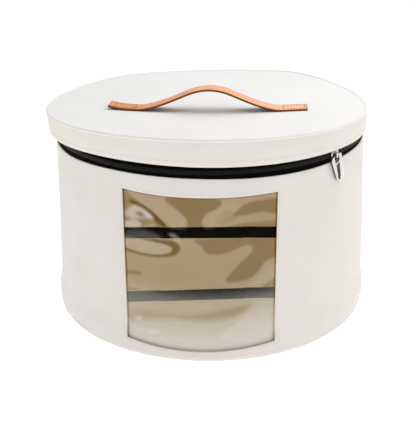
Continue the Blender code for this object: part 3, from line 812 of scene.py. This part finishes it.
@dataclass
class Window(Assembly):
    """The clear film sewn behind the opening."""

    columns: int = 216
    rows: int = 222
    folds: tuple[Fold, ...] = (
        # Middle of the top: a funnel between two paler bands
        Fold(((29, 98), (46, 100), (64, 98), (61, 93), (55, 90), (52, 85), (53, 78),
              (43, 78), (43, 85), (39, 90)), 0.50, 0.0, 0.8),
        Fold(((66, 92), (75, 88), (70, 84), (60, 84)), 0.10),
        Fold(((3, 99), (15, 98), (29, 97), (36, 92), (43, 85), (43, 81), (32, 80),
              (26, 85), (18, 91), (9, 94)), 0.0, 0.035),
        Fold(((65, 97), (72, 97), (75, 94), (69, 90), (59, 81), (54, 81), (54, 86),
              (59, 91)), 0.0, 0.03),
        # Right of the top: a dark lens, and a darker strip above the strap
        Fold(((72, 88), (75, 92), (80, 95), (88, 96), (100, 95), (100, 86), (90, 88.5),
              (81, 88)), 0.46, 0.0, 0.6),
        Fold(((62, 79), (71, 82), (82, 83), (100, 81), (100, 76), (62, 76)), 0.36),
        # Right of the middle: a dark lobe round a pale finger, and a pale wedge in the corner
        Fold(((50, 74), (100, 72), (100, 58), (93, 56), (88, 50), (82, 46), (70, 45),
              (67, 47), (71, 52), (77, 58), (83, 63), (84, 67), (80, 68.5), (74, 67),
              (68, 65), (61, 64), (55, 65), (52, 69)), 0.44, 0.0, 0.7),
        Fold(((82, 41), (88, 47), (96, 52), (100, 53), (100, 45), (92, 41)), -0.10, 0.05),
        Fold(((88, 37), (94, 41), (100, 42), (100, 35), (88, 35)), 0.30),
        # Upper left corner: a dark crease round a bright swirl
        Fold(((0, 100), (6, 96), (12, 93), (19, 90), (26, 85), (33, 79), (26, 78),
              (21, 81), (14, 79), (0, 80)), 0.38, 0.0, 1.0),
        Fold(((4, 92.5), (10, 92.5), (17, 90), (23, 86), (29, 81), (28, 80), (22, 83.5),
              (15, 88), (9, 90.5)), 0.95, 0.0, 0.8, 0.5),
        Fold(((1, 83), (4, 88), (9, 90.5), (13, 90), (18, 87.5), (21.5, 84), (17, 84),
              (11, 82.5), (5, 81)), -0.3, 0.27, 1.2, 0.8),
        Fold(((14, 87.5), (17, 87), (21, 84.5), (19, 83.5), (16, 85)), 0.0, 0.25, 0.0, 0.6),
        Fold(((8, 86), (13, 86.5), (15, 84.5), (10, 84)), 0.9, -0.1, 0.0, 0.6),
        Fold(((2, 79), (7, 81), (12, 80), (11, 77.5), (5, 76), (1, 76)), -0.2, 0.24),
        # On the upper strap: grey glare and a small pale loop
        Fold(((2, 72), (10, 75), (20, 75), (26, 73), (21, 70.5), (10, 69), (2, 69)),
             0.0, 0.045, 0.6, 0.8),
        Fold(((31, 76.5), (35, 76.5), (39, 72), (37, 71), (33, 74)), 0.0, 0.10, 0.0, 0.6),
        # Under it: a pale lobe in a brown outline
        Fold(((22, 71.5), (34, 71.5), (38, 68.5), (37, 64.5), (32, 61.5), (21, 59.5),
              (10, 59), (0, 60), (0, 70), (12, 70)), 0.75, 0.0, 1.2, 0.7),
        Fold(((0, 69), (15, 69), (25, 69), (32, 67.5), (32.5, 65), (28, 62.5), (20, 61),
              (10, 60.5), (0, 61.5)), -0.85, 0.075, 0.0, 0.7),
        # Left edge: two short dark creases
        Fold(((0, 45), (10, 47.5), (11, 46), (2, 43.5)), 0.4, 0.0, 0.3),
        Fold(((0, 34), (9, 35.5), (10, 34.5), (0, 32)), 0.4, 0.0, 0.3),
        # Lower third: clearer arcs in the haze, and small bright spots
        Fold(((0, 19), (16, 22.5), (30, 23.5), (49, 25), (70, 28), (84, 29), (80, 24),
              (68, 21), (49, 19.5), (29, 20), (8, 13), (0, 10)), 0.22, -0.09, 0.5, 1.6),
        Fold(((84, 29), (100, 28), (100, 5), (64, 6), (70, 14), (78, 21)), 0.0, 0.08, 0.5, 1.0),
        Fold(((6, 14.5), (8, 16.5), (11, 17), (10, 15), (7.5, 14)), 0.0, 0.30, 0.2, 0.8),
        Fold(((14, 8.5), (19, 11), (24, 11), (22, 8), (17, 7)), 0.0, 0.12, 0.2),
        Fold(((84, 8), (89, 7.5), (92, 4.5), (86, 5)), 0.2, 0.0, 0.2),
    )  # fmt: skip
    # Milk from sill (0) to head (1): painted glare of the floor in the lower third
    haze_and_glare_table: Table = (
        (0, 0.60), (0.05, 0.52), (0.12, 0.36), (0.20, 0.24), (0.26, 0.14), (0.33, 0.11),
        (0.38, 0.04), (0.43, 0), (1, 0),
    )  # fmt: skip

    def inside(self, fold: Fold, across: Points, up: Points) -> Points:
        """How far inside a fold each point lies, from 0 outside to 1 within.

        The outline is a closed Catmull-Rom curve. A point is inside where a line to its right
        crosses the curve an odd number of times; a few box means then blur the rim.
        """
        knots = np.array(fold.outline) / 100
        before, after, beyond = (np.roll(knots, -shift, 0) for shift in (-1, 1, 2))
        t = np.linspace(0, 1, 6, endpoint=False)[:, None, None]
        curve = (
            2 * knots + (after - before) * t + (2 * before - 5 * knots + 4 * after - beyond) * t**2
            + (3 * knots - before - 3 * after + beyond) * t**3
        ) / 2  # fmt: skip
        curve = curve.transpose(1, 0, 2).reshape(-1, 2)
        odd = np.zeros(across.shape, bool)
        for (x0, y0), (x1, y1) in zip(curve, np.roll(curve, -1, 0)):
            if y0 != y1:
                odd ^= ((y0 > up) != (y1 > up)) & (across < x0 + (up - y0) * (x1 - x0) / (y1 - y0))
        value = odd.astype(float)
        reach = max(1, round(fold.soft * 2))
        for axis in (0, 1):
            for _ in range(2):
                value = sum(np.roll(value, step, axis) for step in range(-reach, reach + 1)) / (2 * reach + 1)
        return value

    def film(self) -> Piece:
        """The film: behind the wall, pressed in by its folds, with its painted haze and tint per point."""
        half = BOX.window_half(BOX.film_margin)
        low = BOX.window_sill - BOX.film_margin
        high = BOX.body_height - BOX.window_head + BOX.film_margin
        grid = np.linspace(-half, half, self.columns), np.linspace(low, high, self.rows)
        azimuth, height = np.meshgrid(*grid)
        edge = np.clip(azimuth / BOX.window_half(), -1, 1)
        up = (height - BOX.sill(edge)) / (BOX.head(edge) - BOX.sill(edge))
        left, right = BOX.window_sides(np.clip(up, 0, 1))
        across = (azimuth - left) / (right - left)
        near = np.clip(across, 0.001, 0.999), np.clip(up, 0.001, 0.999)
        haze_and_glare = np.interp(near[1], *np.transpose(self.haze_and_glare_table))
        tint_and_shade, depth = 0.0 * haze_and_glare, 0.0 * haze_and_glare
        for fold in self.folds:
            amount = self.inside(fold, *near)
            haze_and_glare = haze_and_glare + fold.haze_and_glare * amount
            tint_and_shade = tint_and_shade + fold.tint_and_shade * amount
            depth = depth + fold.depth * MM * amount
        # Darker rim along the sides and head: painted shadow of the gap at the film's edge
        side = np.minimum(np.minimum(across, 1 - across), 1 - up)
        tint_and_shade = tint_and_shade + 0.9 * np.exp(-((np.maximum(side, 0) / 0.008) ** 2))
        hold = np.clip(np.minimum(np.minimum(across, 1 - across), np.minimum(up, 1 - up)) / 0.05, 0, 1)
        for axis in (0, 1):
            for _ in range(4):
                depth = (np.roll(depth, -2, axis) + np.roll(depth, 2, axis) + depth) / 3
        radius = BOX.lining_radius(height) - depth * hold
        uv = np.stack([azimuth * BOX.body_radius, height], -1)
        film = surface("clear_film", round_axis(radius, azimuth, height), uv)
        point_values(film, "haze_and_glare", np.clip(haze_and_glare, 0, 0.9))
        point_values(film, "tint_and_shade", np.clip(tint_and_shade, 0, 1))
        return thicken(film, BOX.film)

    def build(self) -> None:
        """Makes and dresses the film."""
        film = self.dress(self.film(), Finishes.FILM, "clear_film", "window_film")


# Inside


@dataclass
class Interior(Assembly):
    """The tan lining of the wall and floor, and the two straps across behind the window."""

    columns: int = 180
    window_columns: int = 30
    window_rows: int = 26
    ripple: float = 0.5 * MM
    floor_lap: float = 0.25 * MM  # that the floor's lining reaches under the wall's
    strap_thickness: float = 1.4 * MM

    def wall_lining(self) -> Piece:
        """The wall's lining: a thin rippled sheet a gap inside the wall, open behind the film."""
        low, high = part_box("wall_lining")
        half = BOX.window_half(BOX.film_margin) + BOX.seat_gap / BOX.body_radius
        azimuth = np.append(
            np.linspace(-half, half, self.window_columns), np.linspace(half, TURN - half, self.columns)[1:]
        )
        sill = BOX.window_sill - BOX.film_margin - BOX.seat_gap
        head = BOX.body_height - BOX.window_head + BOX.film_margin + BOX.seat_gap
        spans = ((low.z, sill, 3), (sill, head, self.window_rows), (head, high.z, 4))
        height = np.append(low.z, np.concatenate([np.linspace(*span)[1:] for span in spans]))[:, None]
        ripple = self.ripple * np.abs(np.sin(7 * azimuth + 1.3)) * np.sin(math.pi * height / high.z)
        hold = np.clip((np.abs((azimuth + math.pi) % TURN - math.pi) - half) / 0.2, 0, 1)
        points = round_axis(BOX.lining_radius(height) - ripple * hold, azimuth, height)
        uv = np.stack(np.broadcast_arrays(azimuth * BOX.body_radius, height), -1)
        keep = np.ones((len(height) - 1, len(azimuth) - 1), bool)
        keep[2 : self.window_rows + 1, : self.window_columns - 1] = False
        return thicken(surface("lining_wall", points, uv, keep), BOX.lining)

    def floor_lining(self) -> Piece:
        """The floor's lining: a thin disc."""
        low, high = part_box("floor_lining")
        edge = high.x + self.floor_lap
        reach = np.concatenate([np.linspace(0, edge, 14), np.linspace(edge, 0, 14)])[:, None]
        level = np.where(np.arange(28) < 14, high.z, low.z)[:, None]
        points = round_axis(reach, np.linspace(0, TURN, 97), level)
        return make_mesh("lining_floor", points, grid_faces(28, 97), points[..., :2])

    def strap(self, node: str) -> Piece:
        """A webbing strap on the CAD strap's line: straight behind the window, sewn at its ends."""
        places = np.unique(np.round(places_of(frame["nodes"][node].data), 5), axis=0)
        turn = np.round(np.arctan2(places[:, 0], -places[:, 1]), 3)
        reach = np.hypot(places[:, 0], places[:, 1])
        outer = places[reach >= np.array([reach[turn == t].max() for t in turn]) - 1e-5]
        ends = outer[np.lexsort((outer[:, 2], np.arctan2(outer[:, 0], -outer[:, 1])))].reshape(-1, 2, 3)
        line, half = ends.mean(1), (ends[:, 1, 2] - ends[:, 0, 2]).mean() / 2
        along = np.append(0, np.cumsum(np.linalg.norm(np.diff(line, axis=0), axis=1)))
        fine = np.linspace(0, along[-1], 90)
        line = sampled(fine, along, line)
        ahead = np.gradient(line, axis=0) * (1, 1, 0)
        inward = np.cross((0, 0, 1), ahead / np.linalg.norm(ahead, axis=1, keepdims=True))
        inward *= -np.sign((inward * line).sum(1))[:, None]
        side = np.array([-1, -0.97, 0.97, 1, 1, 0.97, -0.97, -1])[:, None]
        deep = np.array([0.15, 0, 0, 0.15, 0.85, 1, 1, 0.85])[:, None] * self.strap_thickness
        sections = line[:, None] + side * half * np.array((0, 0, 1)) + deep * inward[:, None]
        across = np.broadcast_to(np.append(side, -1) * half, (90, 9))
        uv = np.stack([np.broadcast_to(fine[:, None], (90, 9)), across], -1)
        return swept(f"webbing_{node.split('_')[-1]}", sections, False, uv)

    def build(self) -> None:
        """Makes and dresses what shows inside."""
        wall = self.dress(self.wall_lining(), Finishes.LINING, "lining", "wall_lining")
        floor = self.dress(self.floor_lining(), Finishes.LINING, "lining", "floor_lining")
        for node in ("inner_strap_upper", "inner_strap_lower"):
            self.dress(self.strap(node), Finishes.WEBBING, "webbing", node)


# Zipper


@dataclass
class Zipper(Assembly):
    """Two woven tapes, the coil teeth, the slider and the cloth gusset at the back."""

    pitch: float = 2.0 * MM  # of the teeth, drawn coarser than a real 1.6 mm to show
    coil_width: float = 6.2 * MM
    coil_height: float = 2.2 * MM
    columns: int = 241
    tape_wall: float = 0.8 * MM
    gusset_wall: float = 1.2 * MM
    gusset_slack: float = 0.5 * MM

    def band(self, name: str, node: str, start: float, end: float, slack: float, wall: float) -> Piece:
        """A thin band between two azimuths as tall as a CAD node, bowed inwards by its slack."""
        low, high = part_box(node)
        azimuth = np.linspace(start, end, self.columns)
        height = np.linspace(low.z - BOX.seat_gap, high.z + BOX.seat_gap, 12)[:, None]
        bow = slack * np.sin(math.pi * (height - low.z) / (high.z - low.z))
        uv = np.stack(np.broadcast_arrays(azimuth * BOX.tape_radius, height), -1)
        return thicken(surface(name, round_axis(BOX.tape_radius - bow, azimuth, height), uv), wall)

    def teeth(self) -> Piece:
        """Two rows of coil loops that mesh in the middle.

        Each loop is a bar across its own row, an ellipse in section, whose round head reaches
        just past the middle. Loops of the lower row stand half a pitch beside the upper ones.
        """
        middle = BOX.body_height + BOX.zipper_height / 2
        seat = BOX.tape_radius + BOX.seat_gap
        reach = BOX.zipper_reach * seat
        start = -reach + self.pitch * (np.arange(int(2 * reach / self.pitch)) + 0.5)
        share = np.array([0.0, 0.06, 0.45, 0.8, 0.94, 1.0])
        fat = np.array([0.0, 0.75, 0.85, 1.0, 0.8, 0.0])[:, None]
        around = np.linspace(0, TURN, 7)
        grids = []
        for row, offset in ((1, 0.0), (-1, 0.5)):
            along = start[:, None, None] + offset * self.pitch + self.pitch * 0.27 * fat * np.cos(around)
            out = self.coil_height / 2 * (1 + fat * np.sin(around))
            across = self.coil_width / 2 * (1 - 1.12 * share)[:, None]
            grids.append(round_axis(seat + out, along / seat, middle + row * across))
        return many("coil_teeth", np.concatenate(grids))

    def build(self) -> None:
        """Makes and dresses the zipper's pieces."""
        reach = BOX.zipper_reach
        for side in ("lower", "upper"):
            node = f"zipper_tape_{side}"
            tape = self.band(f"woven_tape_{side}", node, -reach, reach, 0.0, self.tape_wall)
            self.dress(tape, Finishes.TAPE, "zipper_tape", node)
        self.dress(self.teeth(), Finishes.TEETH, "zipper_teeth", "zipper_coil")
        start = reach + BOX.seat_gap / BOX.tape_radius
        span = start, TURN - start
        gusset = self.band("canvas_gusset", "back_gusset", *span, self.gusset_slack, self.gusset_wall)
        self.dress(gusset, Finishes.BODY_CANVAS, "body_cloth", "back_gusset")
        slider = rounded_copy("zipper_slider", "plated_slider", 0.4 * MM)
        self.dress(slider, Finishes.NICKEL, "zipper_metal", "zipper_slider")
        # The slider's rounded edges take the dark recess finish: painted shade along its edges
        slider.data.materials.append(material_of(Finishes.RECESS_AND_EDGE_SHADE))
        slider.modifiers["soft edge"].material = 1


def rounded_copy(node: str, name: str, radius: float) -> Piece:
    """A casting on a CAD node's shape, its triangles merged to flat faces and its edges rounded."""
    mesh = frame["nodes"][node].data.copy()
    mesh.name = name
    work = bmesh.new()
    work.from_mesh(mesh)
    bmesh.ops.remove_doubles(work, verts=work.verts, dist=1e-6)
    bmesh.ops.dissolve_limit(work, angle_limit=math.radians(1.0), verts=work.verts, edges=work.edges)
    work.to_mesh(mesh)
    work.free()
    mesh.shade_smooth()
    obj = placed(name, mesh)
    soften(obj, radius, 25.0)
    return obj


@dataclass
class Pull(Assembly):
    """The pull tab, which swings on the slider's bridge."""

    body: str = "pull"
    widened: float = 1.32
    lengthened: float = 1.17
    turned: float = math.radians(9.0)  # further than the CAD pull, within the play of its hole
    sunk: float = 0.35 * MM  # depth below the face from which a flat face is recess
    slot_share: float = 0.42  # width of the recess against the CAD one
    slot_shift: float = 1.0 * MM

    def build(self) -> None:
        """Makes and dresses the pull: wider, longer and turned about its pivot, its recess a slot."""
        pull = rounded_copy("zipper_pull", "plated_pull", 0.45 * MM)
        mesh = pull.data
        pivot = np.array(frame["record"]["behaviour"]["joints"][0]["pos_m"])
        sin, cos = math.sin(BOX.slider_azimuth), math.cos(BOX.slider_azimuth)
        axes = np.array([(cos, sin, 0), (0, 0, 1), (sin, -cos, 0)])
        local = (places_of(mesh) - pivot) @ axes.T
        outward = np.array([np.array(face.normal) @ axes[2] for face in mesh.polygons])
        depth = np.array([(np.array(face.center) - pivot) @ axes[2] for face in mesh.polygons])
        sunk = (outward > 0.9) & (depth < depth[outward > 0.9].max() - self.sunk)
        rim = {vertex for face in np.flatnonzero(sunk) for vertex in mesh.polygons[face].vertices}
        apart = np.linalg.norm(local[:, None, :2] - local[None, list(rim), :2], axis=-1).min(1)
        slot = apart < 0.01 * MM
        local[slot, 0] = local[slot, 0] * self.slot_share + self.slot_shift
        local[:, 0] *= self.widened
        local[:, 1] *= np.where(local[:, 1] < 0, self.lengthened, 1)
        turn = np.array(Matrix.Rotation(self.turned, 3, "Z"))
        mesh.vertices.foreach_set("co", (local @ turn.T @ axes + pivot).astype(np.float32).ravel())
        self.dress(pull, Finishes.NICKEL, "zipper_metal", "zipper_pull")
        # Sunk faces take the oxide; the sides and the rounded edges take the same dark finish as painted shade
        mesh.materials.append(material_of(Finishes.RECESS_AND_EDGE_SHADE))
        pull.modifiers["soft edge"].material = 1
        mesh.polygons.foreach_set("material_index", (sunk | (np.abs(outward) < 0.5)).astype(np.int32))


# Lid


@dataclass
class Lid(Assembly):
    """The soft lid: dished top, piping on its rim, and the side with its hem."""

    columns: int = 288
    rings: int = 40
    stitch_pitch: float = 3.4 * MM
    thread: float = 0.55 * MM
    stitch_share: float = 0.22  # of the side's height from its hem

    def slack(self, azimuth: Points) -> Points:
        """Slight puckers round the rim: three sine waves that don't repeat together."""
        coarse = 0.5 * np.sin(5 * azimuth + 0.7) + 0.3 * np.sin(11 * azimuth + 2.1)
        return coarse + 0.2 * np.sin(23 * azimuth)

    def top(self) -> Piece:
        """The dished top: the hung paraboloid with faint drags, its edge tucked under the piping."""
        edge = BOX.rim_radius - BOX.piping / 2
        share = np.append(np.linspace(0, 0.9, self.rings), [0.94, 0.97, 0.985, 1.0])[::-1, None]
        azimuth = np.linspace(0, TURN, self.columns + 1)
        points = round_axis(edge * share, azimuth, 0.0, BOX.rim_shift)
        drag = 0.5 * MM * self.slack(azimuth) * (share * (1 - share) * 4) ** 2
        points[..., 2] = BOX.lid_height(points[..., 0], points[..., 1]) + drag
        return thicken(surface("canvas_lid_top", points, points[..., :2]), BOX.lid_panel)

    def piping(self) -> Piece:
        """The piping: a round cord in canvas along the rim, slightly uneven."""
        radius = BOX.piping / 2
        azimuth = np.linspace(0, TURN, self.columns, endpoint=False)[:, None]
        around = np.linspace(0, TURN, 14, endpoint=False)
        fat = radius * (1 + 0.03 * self.slack(azimuth))
        out = BOX.rim_radius - radius + fat * np.cos(around)
        level = BOX.rim_height + BOX.rim_wave(azimuth, 1.0) - radius + fat * np.sin(around)
        u = np.broadcast_to(azimuth * BOX.rim_radius, (self.columns, 15))
        v = np.broadcast_to(np.append(around, TURN) * radius, (self.columns, 15))
        sections = round_axis(out, azimuth, level, BOX.rim_shift)
        return swept("canvas_piping", sections, True, np.stack([u, v], -1))

    def side_profile(self, azimuth: Points, share: Points) -> tuple[Points, ...]:
        """Outside of the lid's side: radius, height and shift from hem (0) to rim (1).

        The radius runs from the hem to the rim with a sine bulge, a 0.4 mm step where the hem
        is folded double, and puckers that die away towards both edges.
        """
        hem = BOX.hem_edge(azimuth)
        top = BOX.rim_height + BOX.rim_wave(azimuth, 1.0) - 0.92 * BOX.piping
        height = hem + (top - hem) * share
        radius = BOX.hem_radius + (BOX.rim_radius - BOX.piping / 3 - BOX.hem_radius) * share
        fold = 0.4 * MM * np.clip((0.30 - share) / 0.04, 0, 1) + eased(azimuth, HEM_FLARE) * MM * (1 - share)
        bulge = (BOX.band_bulge + 0.35 * MM * self.slack(azimuth)) * np.sin(math.pi * share)
        shift = BOX.hem_shift + (BOX.rim_shift - BOX.hem_shift) * share
        return tuple(np.broadcast_arrays(radius + fold + bulge, height, shift))

    def side(self) -> Piece:
        """The lid's side: down inside the hem, round it, and up and out to the rim."""
        azimuth = np.linspace(0, TURN, self.columns + 1)
        share = np.append([0.02, 0.05], np.linspace(0.1, 1, 22))[:, None]
        outside = self.side_profile(azimuth, share)
        flange = BOX.tape_radius + 2 * BOX.seat_gap
        edge = BOX.hem_radius - 0.6 * MM
        # Radius, rise above the hem and share of the hem's shift, from the flange to the fold
        turned = np.array([
            (flange, BOX.hem_flange, 0), (flange, 3 * MM, 0), (flange, 1 * MM, 0),
            (flange + 0.6 * MM, 0.3 * MM, 0), ((flange + edge) / 2, 0, 0.5), (edge, 0, 1),
            (edge + 0.5 * MM, 0.2 * MM, 1),
        ])[..., None]  # fmt: skip
        flare = eased(azimuth, HEM_FLARE) * MM
        reach, level = turned[:, 0] + flare * turned[:, 2], BOX.hem_edge(azimuth) + turned[:, 1]
        hem = np.broadcast_arrays(reach, level, BOX.hem_shift * turned[:, 2])
        radius, height, shift = (np.concatenate(parts) for parts in zip(hem, outside))
        points = round_axis(radius, azimuth, height, shift)
        down = np.append(0, np.cumsum(np.linalg.norm(np.diff(points, axis=0), axis=-1).mean(1)))
        uv = np.stack(np.broadcast_arrays(azimuth * BOX.hem_radius, down[:, None]), -1)
        return thicken(surface("canvas_lid_side", points, uv), BOX.band, 0.3 * MM)

    def sewing(self) -> Piece:
        """Topstitching above the hem's fold."""
        azimuth = np.linspace(0, TURN, 721)
        radius, height, shift = self.side_profile(azimuth, self.stitch_share)
        path = on_wall(azimuth, height, radius, shift)
        return stitch_row("lid_stitches", [path], self.stitch_pitch, self.thread)

    def build(self) -> None:
        """Makes and dresses the lid's pieces."""
        top = self.dress(self.top(), Finishes.LID_CANVAS, "lid_cloth", "lid_top")
        self.dress(self.piping(), Finishes.LID_CANVAS, "lid_cloth", "lid_piping")
        side = self.dress(self.side(), Finishes.SHADED_SIDE_CANVAS, "lid_cloth", "lid_band")
        self.dress(self.sewing(), Finishes.CANVAS_THREAD, "lid_cloth")


# Handle


@dataclass
class Handle(Assembly):
    """The flat leather strap, sewn down at both feet and humped between them."""

    width: float = 28.5 * MM
    thickness: float = 2.5 * MM
    span: float = 176 * MM
    foot: float = 38.5 * MM
    rise: float = 28.8 * MM
    ease: float = 13 * MM  # over which the table's corners are rounded, to each side
    left_foot: float = 4.5 * MM  # longer than the right one
    curl: float = 2.2 * MM  # of the left foot's tip
    curl_reach: float = 22 * MM  # length of the foot that curls
    hump: Table = (
        (0, 1), (0.12, 0.965), (0.26, 0.855), (0.40, 0.66), (0.55, 0.46), (0.70, 0.27), (0.85, 0.115), (1, 0),
    )  # fmt: skip
    stations: int = 150

    @property
    def end(self) -> float:
        """Distance from the middle to the tip of a foot."""
        return self.span / 2 + self.foot

    def under(self, x: Points, y: Points) -> Points:
        """Underside of the strap: the lid's face plus the hump, averaged under a raised cosine."""
        offset = np.linspace(-1, 1, 21)
        weight = 1 + np.cos(math.pi * offset)
        share = np.abs(x[..., None] + offset * self.ease) / (self.span / 2)
        lift = (np.interp(share, *np.transpose(self.hump)) * weight).sum(-1) / weight.sum()
        tip = self.curl * np.clip((self.curl_reach - x - self.end) / self.curl_reach, 0, 1.2) ** 2
        return BOX.lid_height(x, y) + lift * self.rise + tip + BOX.seat_gap

    def frame_at(self, x: Points) -> tuple[Points, Points, Points]:
        """Middle line of the underside, with its sideways and upward directions."""
        line = np.stack([x, 0 * x, self.under(x, 0 * x)], -1)
        slope = (self.under(x, 0 * x + 0.01) - self.under(x, 0 * x - 0.01)) / 0.02
        side = np.stack([0 * x, np.ones_like(x), slope], -1)
        up = np.cross(np.gradient(line, x, axis=0), side)
        side /= np.linalg.norm(side, axis=1, keepdims=True)
        return line, side, up / np.linalg.norm(up, axis=1, keepdims=True)

    def strap(self) -> Piece:
        """The strap: a flat section with rounded edges carried along its line."""
        x = np.linspace(-self.end - self.left_foot, self.end, self.stations)
        line, side, up = self.frame_at(x)
        half, thick, round_off = self.width / 2, self.thickness, 0.45 * MM
        bend = np.linspace(0, math.pi / 2, 4)
        corner = np.stack([half - round_off * (1 - np.sin(bend)), thick - round_off * (1 - np.cos(bend))], -1)
        flat = np.linspace(0.92, -0.92, 9)[:, None] * (half, 0)
        # Round the section: over the top, down the far edge, back below and up the near edge
        section = np.concatenate([
            corner[::-1], flat + (0, thick), corner * (-1, 1),
            (corner * (-1, -1) + (0, thick))[::-1], -flat, corner * (1, -1) + (0, thick),
        ])  # fmt: skip
        sections = line[:, None] + section[:, :1] * side[:, None] + section[:, 1:] * up[:, None]
        strap = swept("leather_strap", sections, False)
        places = places_of(strap.data)
        tips = np.minimum(self.end - places[:, 0], places[:, 0] + self.end + self.left_foot)
        inset = np.minimum(half - np.abs(places[:, 1]), tips)
        # The underside takes the dark edge colour too: painted shade under the strap
        below = places[:, 2] - self.under(places[:, 0], places[:, 1]) < 0.3 * self.thickness
        point_values(strap, "cut_edge_and_underside_shade", np.maximum(np.clip(1 - inset / (1.1 * MM), 0, 1) ** 0.5, below))
        soften(strap, 0.3 * MM, 60.0)
        return strap

    def on_face(self, x: Points, y: Points) -> Path:
        """A path on the strap's upper face, with its outward directions."""
        order = np.linspace(-self.end, self.end, 801)
        place, across, out = (sampled(x, order, values) for values in self.frame_at(order))
        return place + across * y[:, None] + out * self.thickness, out

    def sewing(self) -> Piece:
        """A box of stitches on each foot, a margin inside the strap's edges."""
        margin = 3.2 * MM
        start, end, half = self.span / 2 + 8 * MM, self.end - margin, self.width / 2 - margin
        share = np.linspace(0, 1, 40)
        rows = []
        for way in (-1, 1):
            for place in (-half, half):
                rows.append(self.on_face(way * (start + (end - start) * share), np.full(40, place)))
            for place in (start, end):
                rows.append(self.on_face(np.full(40, way * place), half * (2 * share - 1)))
        return stitch_row("handle_stitches", rows, 3.6 * MM, 0.8 * MM)

    def build(self) -> None:
        """Makes and dresses the handle."""
        self.dress(self.strap(), Finishes.STRAP, "leather", "handle_strap")
        self.dress(self.sewing(), Finishes.HANDLE_THREAD, "leather")


# Studio


@dataclass
class Studio:
    """White floor, soft lights and the camera at the photograph's viewing angle."""

    turn: float = math.radians(3.8)  # the box stands turned this far from the camera
    elevation: float = math.radians(22.49)
    roll: float = math.radians(-0.45)
    distance: float = 1.270
    aim: float = 0.0983
    side: float = -0.0031
    focal_pixels: float = 929.0
    frame_height: float = 443.0
    sensor: float = 36.0
    floor_radius: float = 9.0
    # Brightness of the surround from the front (0) over the sides (0.5) to the back (1)
    surround: Table = (
        (0.0, 0.22), (0.07, 0.32), (0.2, 0.78), (0.32, 1.0), (0.45, 0.70), (0.55, 0.50), (1.0, 0.86),
    )  # fmt: skip

    def floor(self) -> None:
        """A round white table that fills the view."""
        radius = np.array([self.floor_radius, 0.0])[:, None]
        floor = surface("floor", round_axis(radius, np.linspace(0, TURN, 97), -0.4 * MM))
        material = bpy.data.materials.new("lit opal acrylic")
        material.use_nodes = True
        tree = material.node_tree
        shader = tree.nodes["Principled BSDF"]
        place = add(tree, "TexCoord").outputs["Object"]
        cloud = add(tree, "TexNoise", {"Vector": place, "Scale": 2.0})
        span = {0: cloud, 6: linear("FBF7F0"), 7: linear("F8F4EC")}
        colour = add(tree, "Mix", span, data_type="RGBA")
        tree.links.new(colour.outputs[2], shader.inputs["Base Color"])
        shader.inputs["Roughness"].default_value = 0.9
        shader.inputs["Specular IOR Level"].default_value = 0.0
        shader.inputs["Emission Color"].default_value = linear("FFFFFF")
        shader.inputs["Emission Strength"].default_value = 0.55
        floor.data.materials.append(material)

    def light(self, name: str, place: tuple[float, float, float], size: float, power: float) -> None:
        """A square soft light that faces the box."""
        data = bpy.data.lights.new(name, "AREA")
        data.size = size
        data.energy = power
        back = np.array(place) - (0, 0, 0.15)
        back /= np.linalg.norm(back)
        right = np.cross((0, 1, 0), back)
        right /= np.linalg.norm(right)
        stand(placed(name, data), np.column_stack([right, np.cross(back, right), back]), place)

    def world(self) -> None:
        """A white surround that is darker in front, where the camera stands."""
        world = bpy.data.worlds.new("white surround")
        bpy.context.scene.world = world
        world.use_nodes = True
        tree = world.node_tree
        way = add(tree, "TexCoord").outputs["Generated"]
        split = add(tree, "SeparateXYZ", {0: way})
        share = add(tree, "MapRange", {"Value": split.outputs["Y"], "From Min": -1.0})
        ramp = add(tree, "ValToRGB", {"Fac": share})
        stops = ramp.color_ramp.elements
        for place, value in self.surround[1:-1]:
            stops.new(place)
        for stop, (place, value) in zip(stops, self.surround):
            stop.position = place
            stop.color = (value, value, value, 1)
        shade = tree.nodes["Background"]
        tree.links.new(ramp.outputs["Color"], shade.inputs["Color"])
        shade.inputs["Strength"].default_value = 1.06

    def camera(self) -> None:
        """The camera: looks down by the elevation, turned with the box and rolled a little."""
        level, high = math.cos(self.elevation), math.sin(self.elevation)
        right, up, back = np.array([(1, 0, 0), (0, high, level), (0, -level, high)])
        eye = np.array((self.side, 0, self.aim)) + self.distance * back
        spin = np.array(Matrix.Rotation(self.turn, 3, "Z"))
        cos, sin = math.cos(self.roll), math.sin(self.roll)
        axes = spin @ np.column_stack([cos * right + sin * up, cos * up - sin * right, back])
        data = bpy.data.cameras.new("camera")
        data.sensor_width = self.sensor
        data.lens = self.focal_pixels * self.sensor / self.frame_height
        camera = placed("camera", data)
        stand(camera, axes, spin @ eye)
        bpy.context.scene.camera = camera

    def build(self) -> None:
        """Sets up the studio."""
        self.camera()
        self.world()
        self.floor()
        self.light("softbox overhead", (0.28, 0.1, 0.9), 0.65, 2.35)
        bpy.context.scene.view_settings.view_transform = "Standard"


def main() -> None:
    """Builds the studio and the assemblies in order."""
    logging.basicConfig(level=logging.INFO, format="%(message)s")
    Studio().build()
    for assembly in (BodyShell(), Window(), Interior(), Zipper(), Pull(), Lid(), Handle()):
        assembly.build()
        assembly.report()


if __name__ == "__main__":
    main()
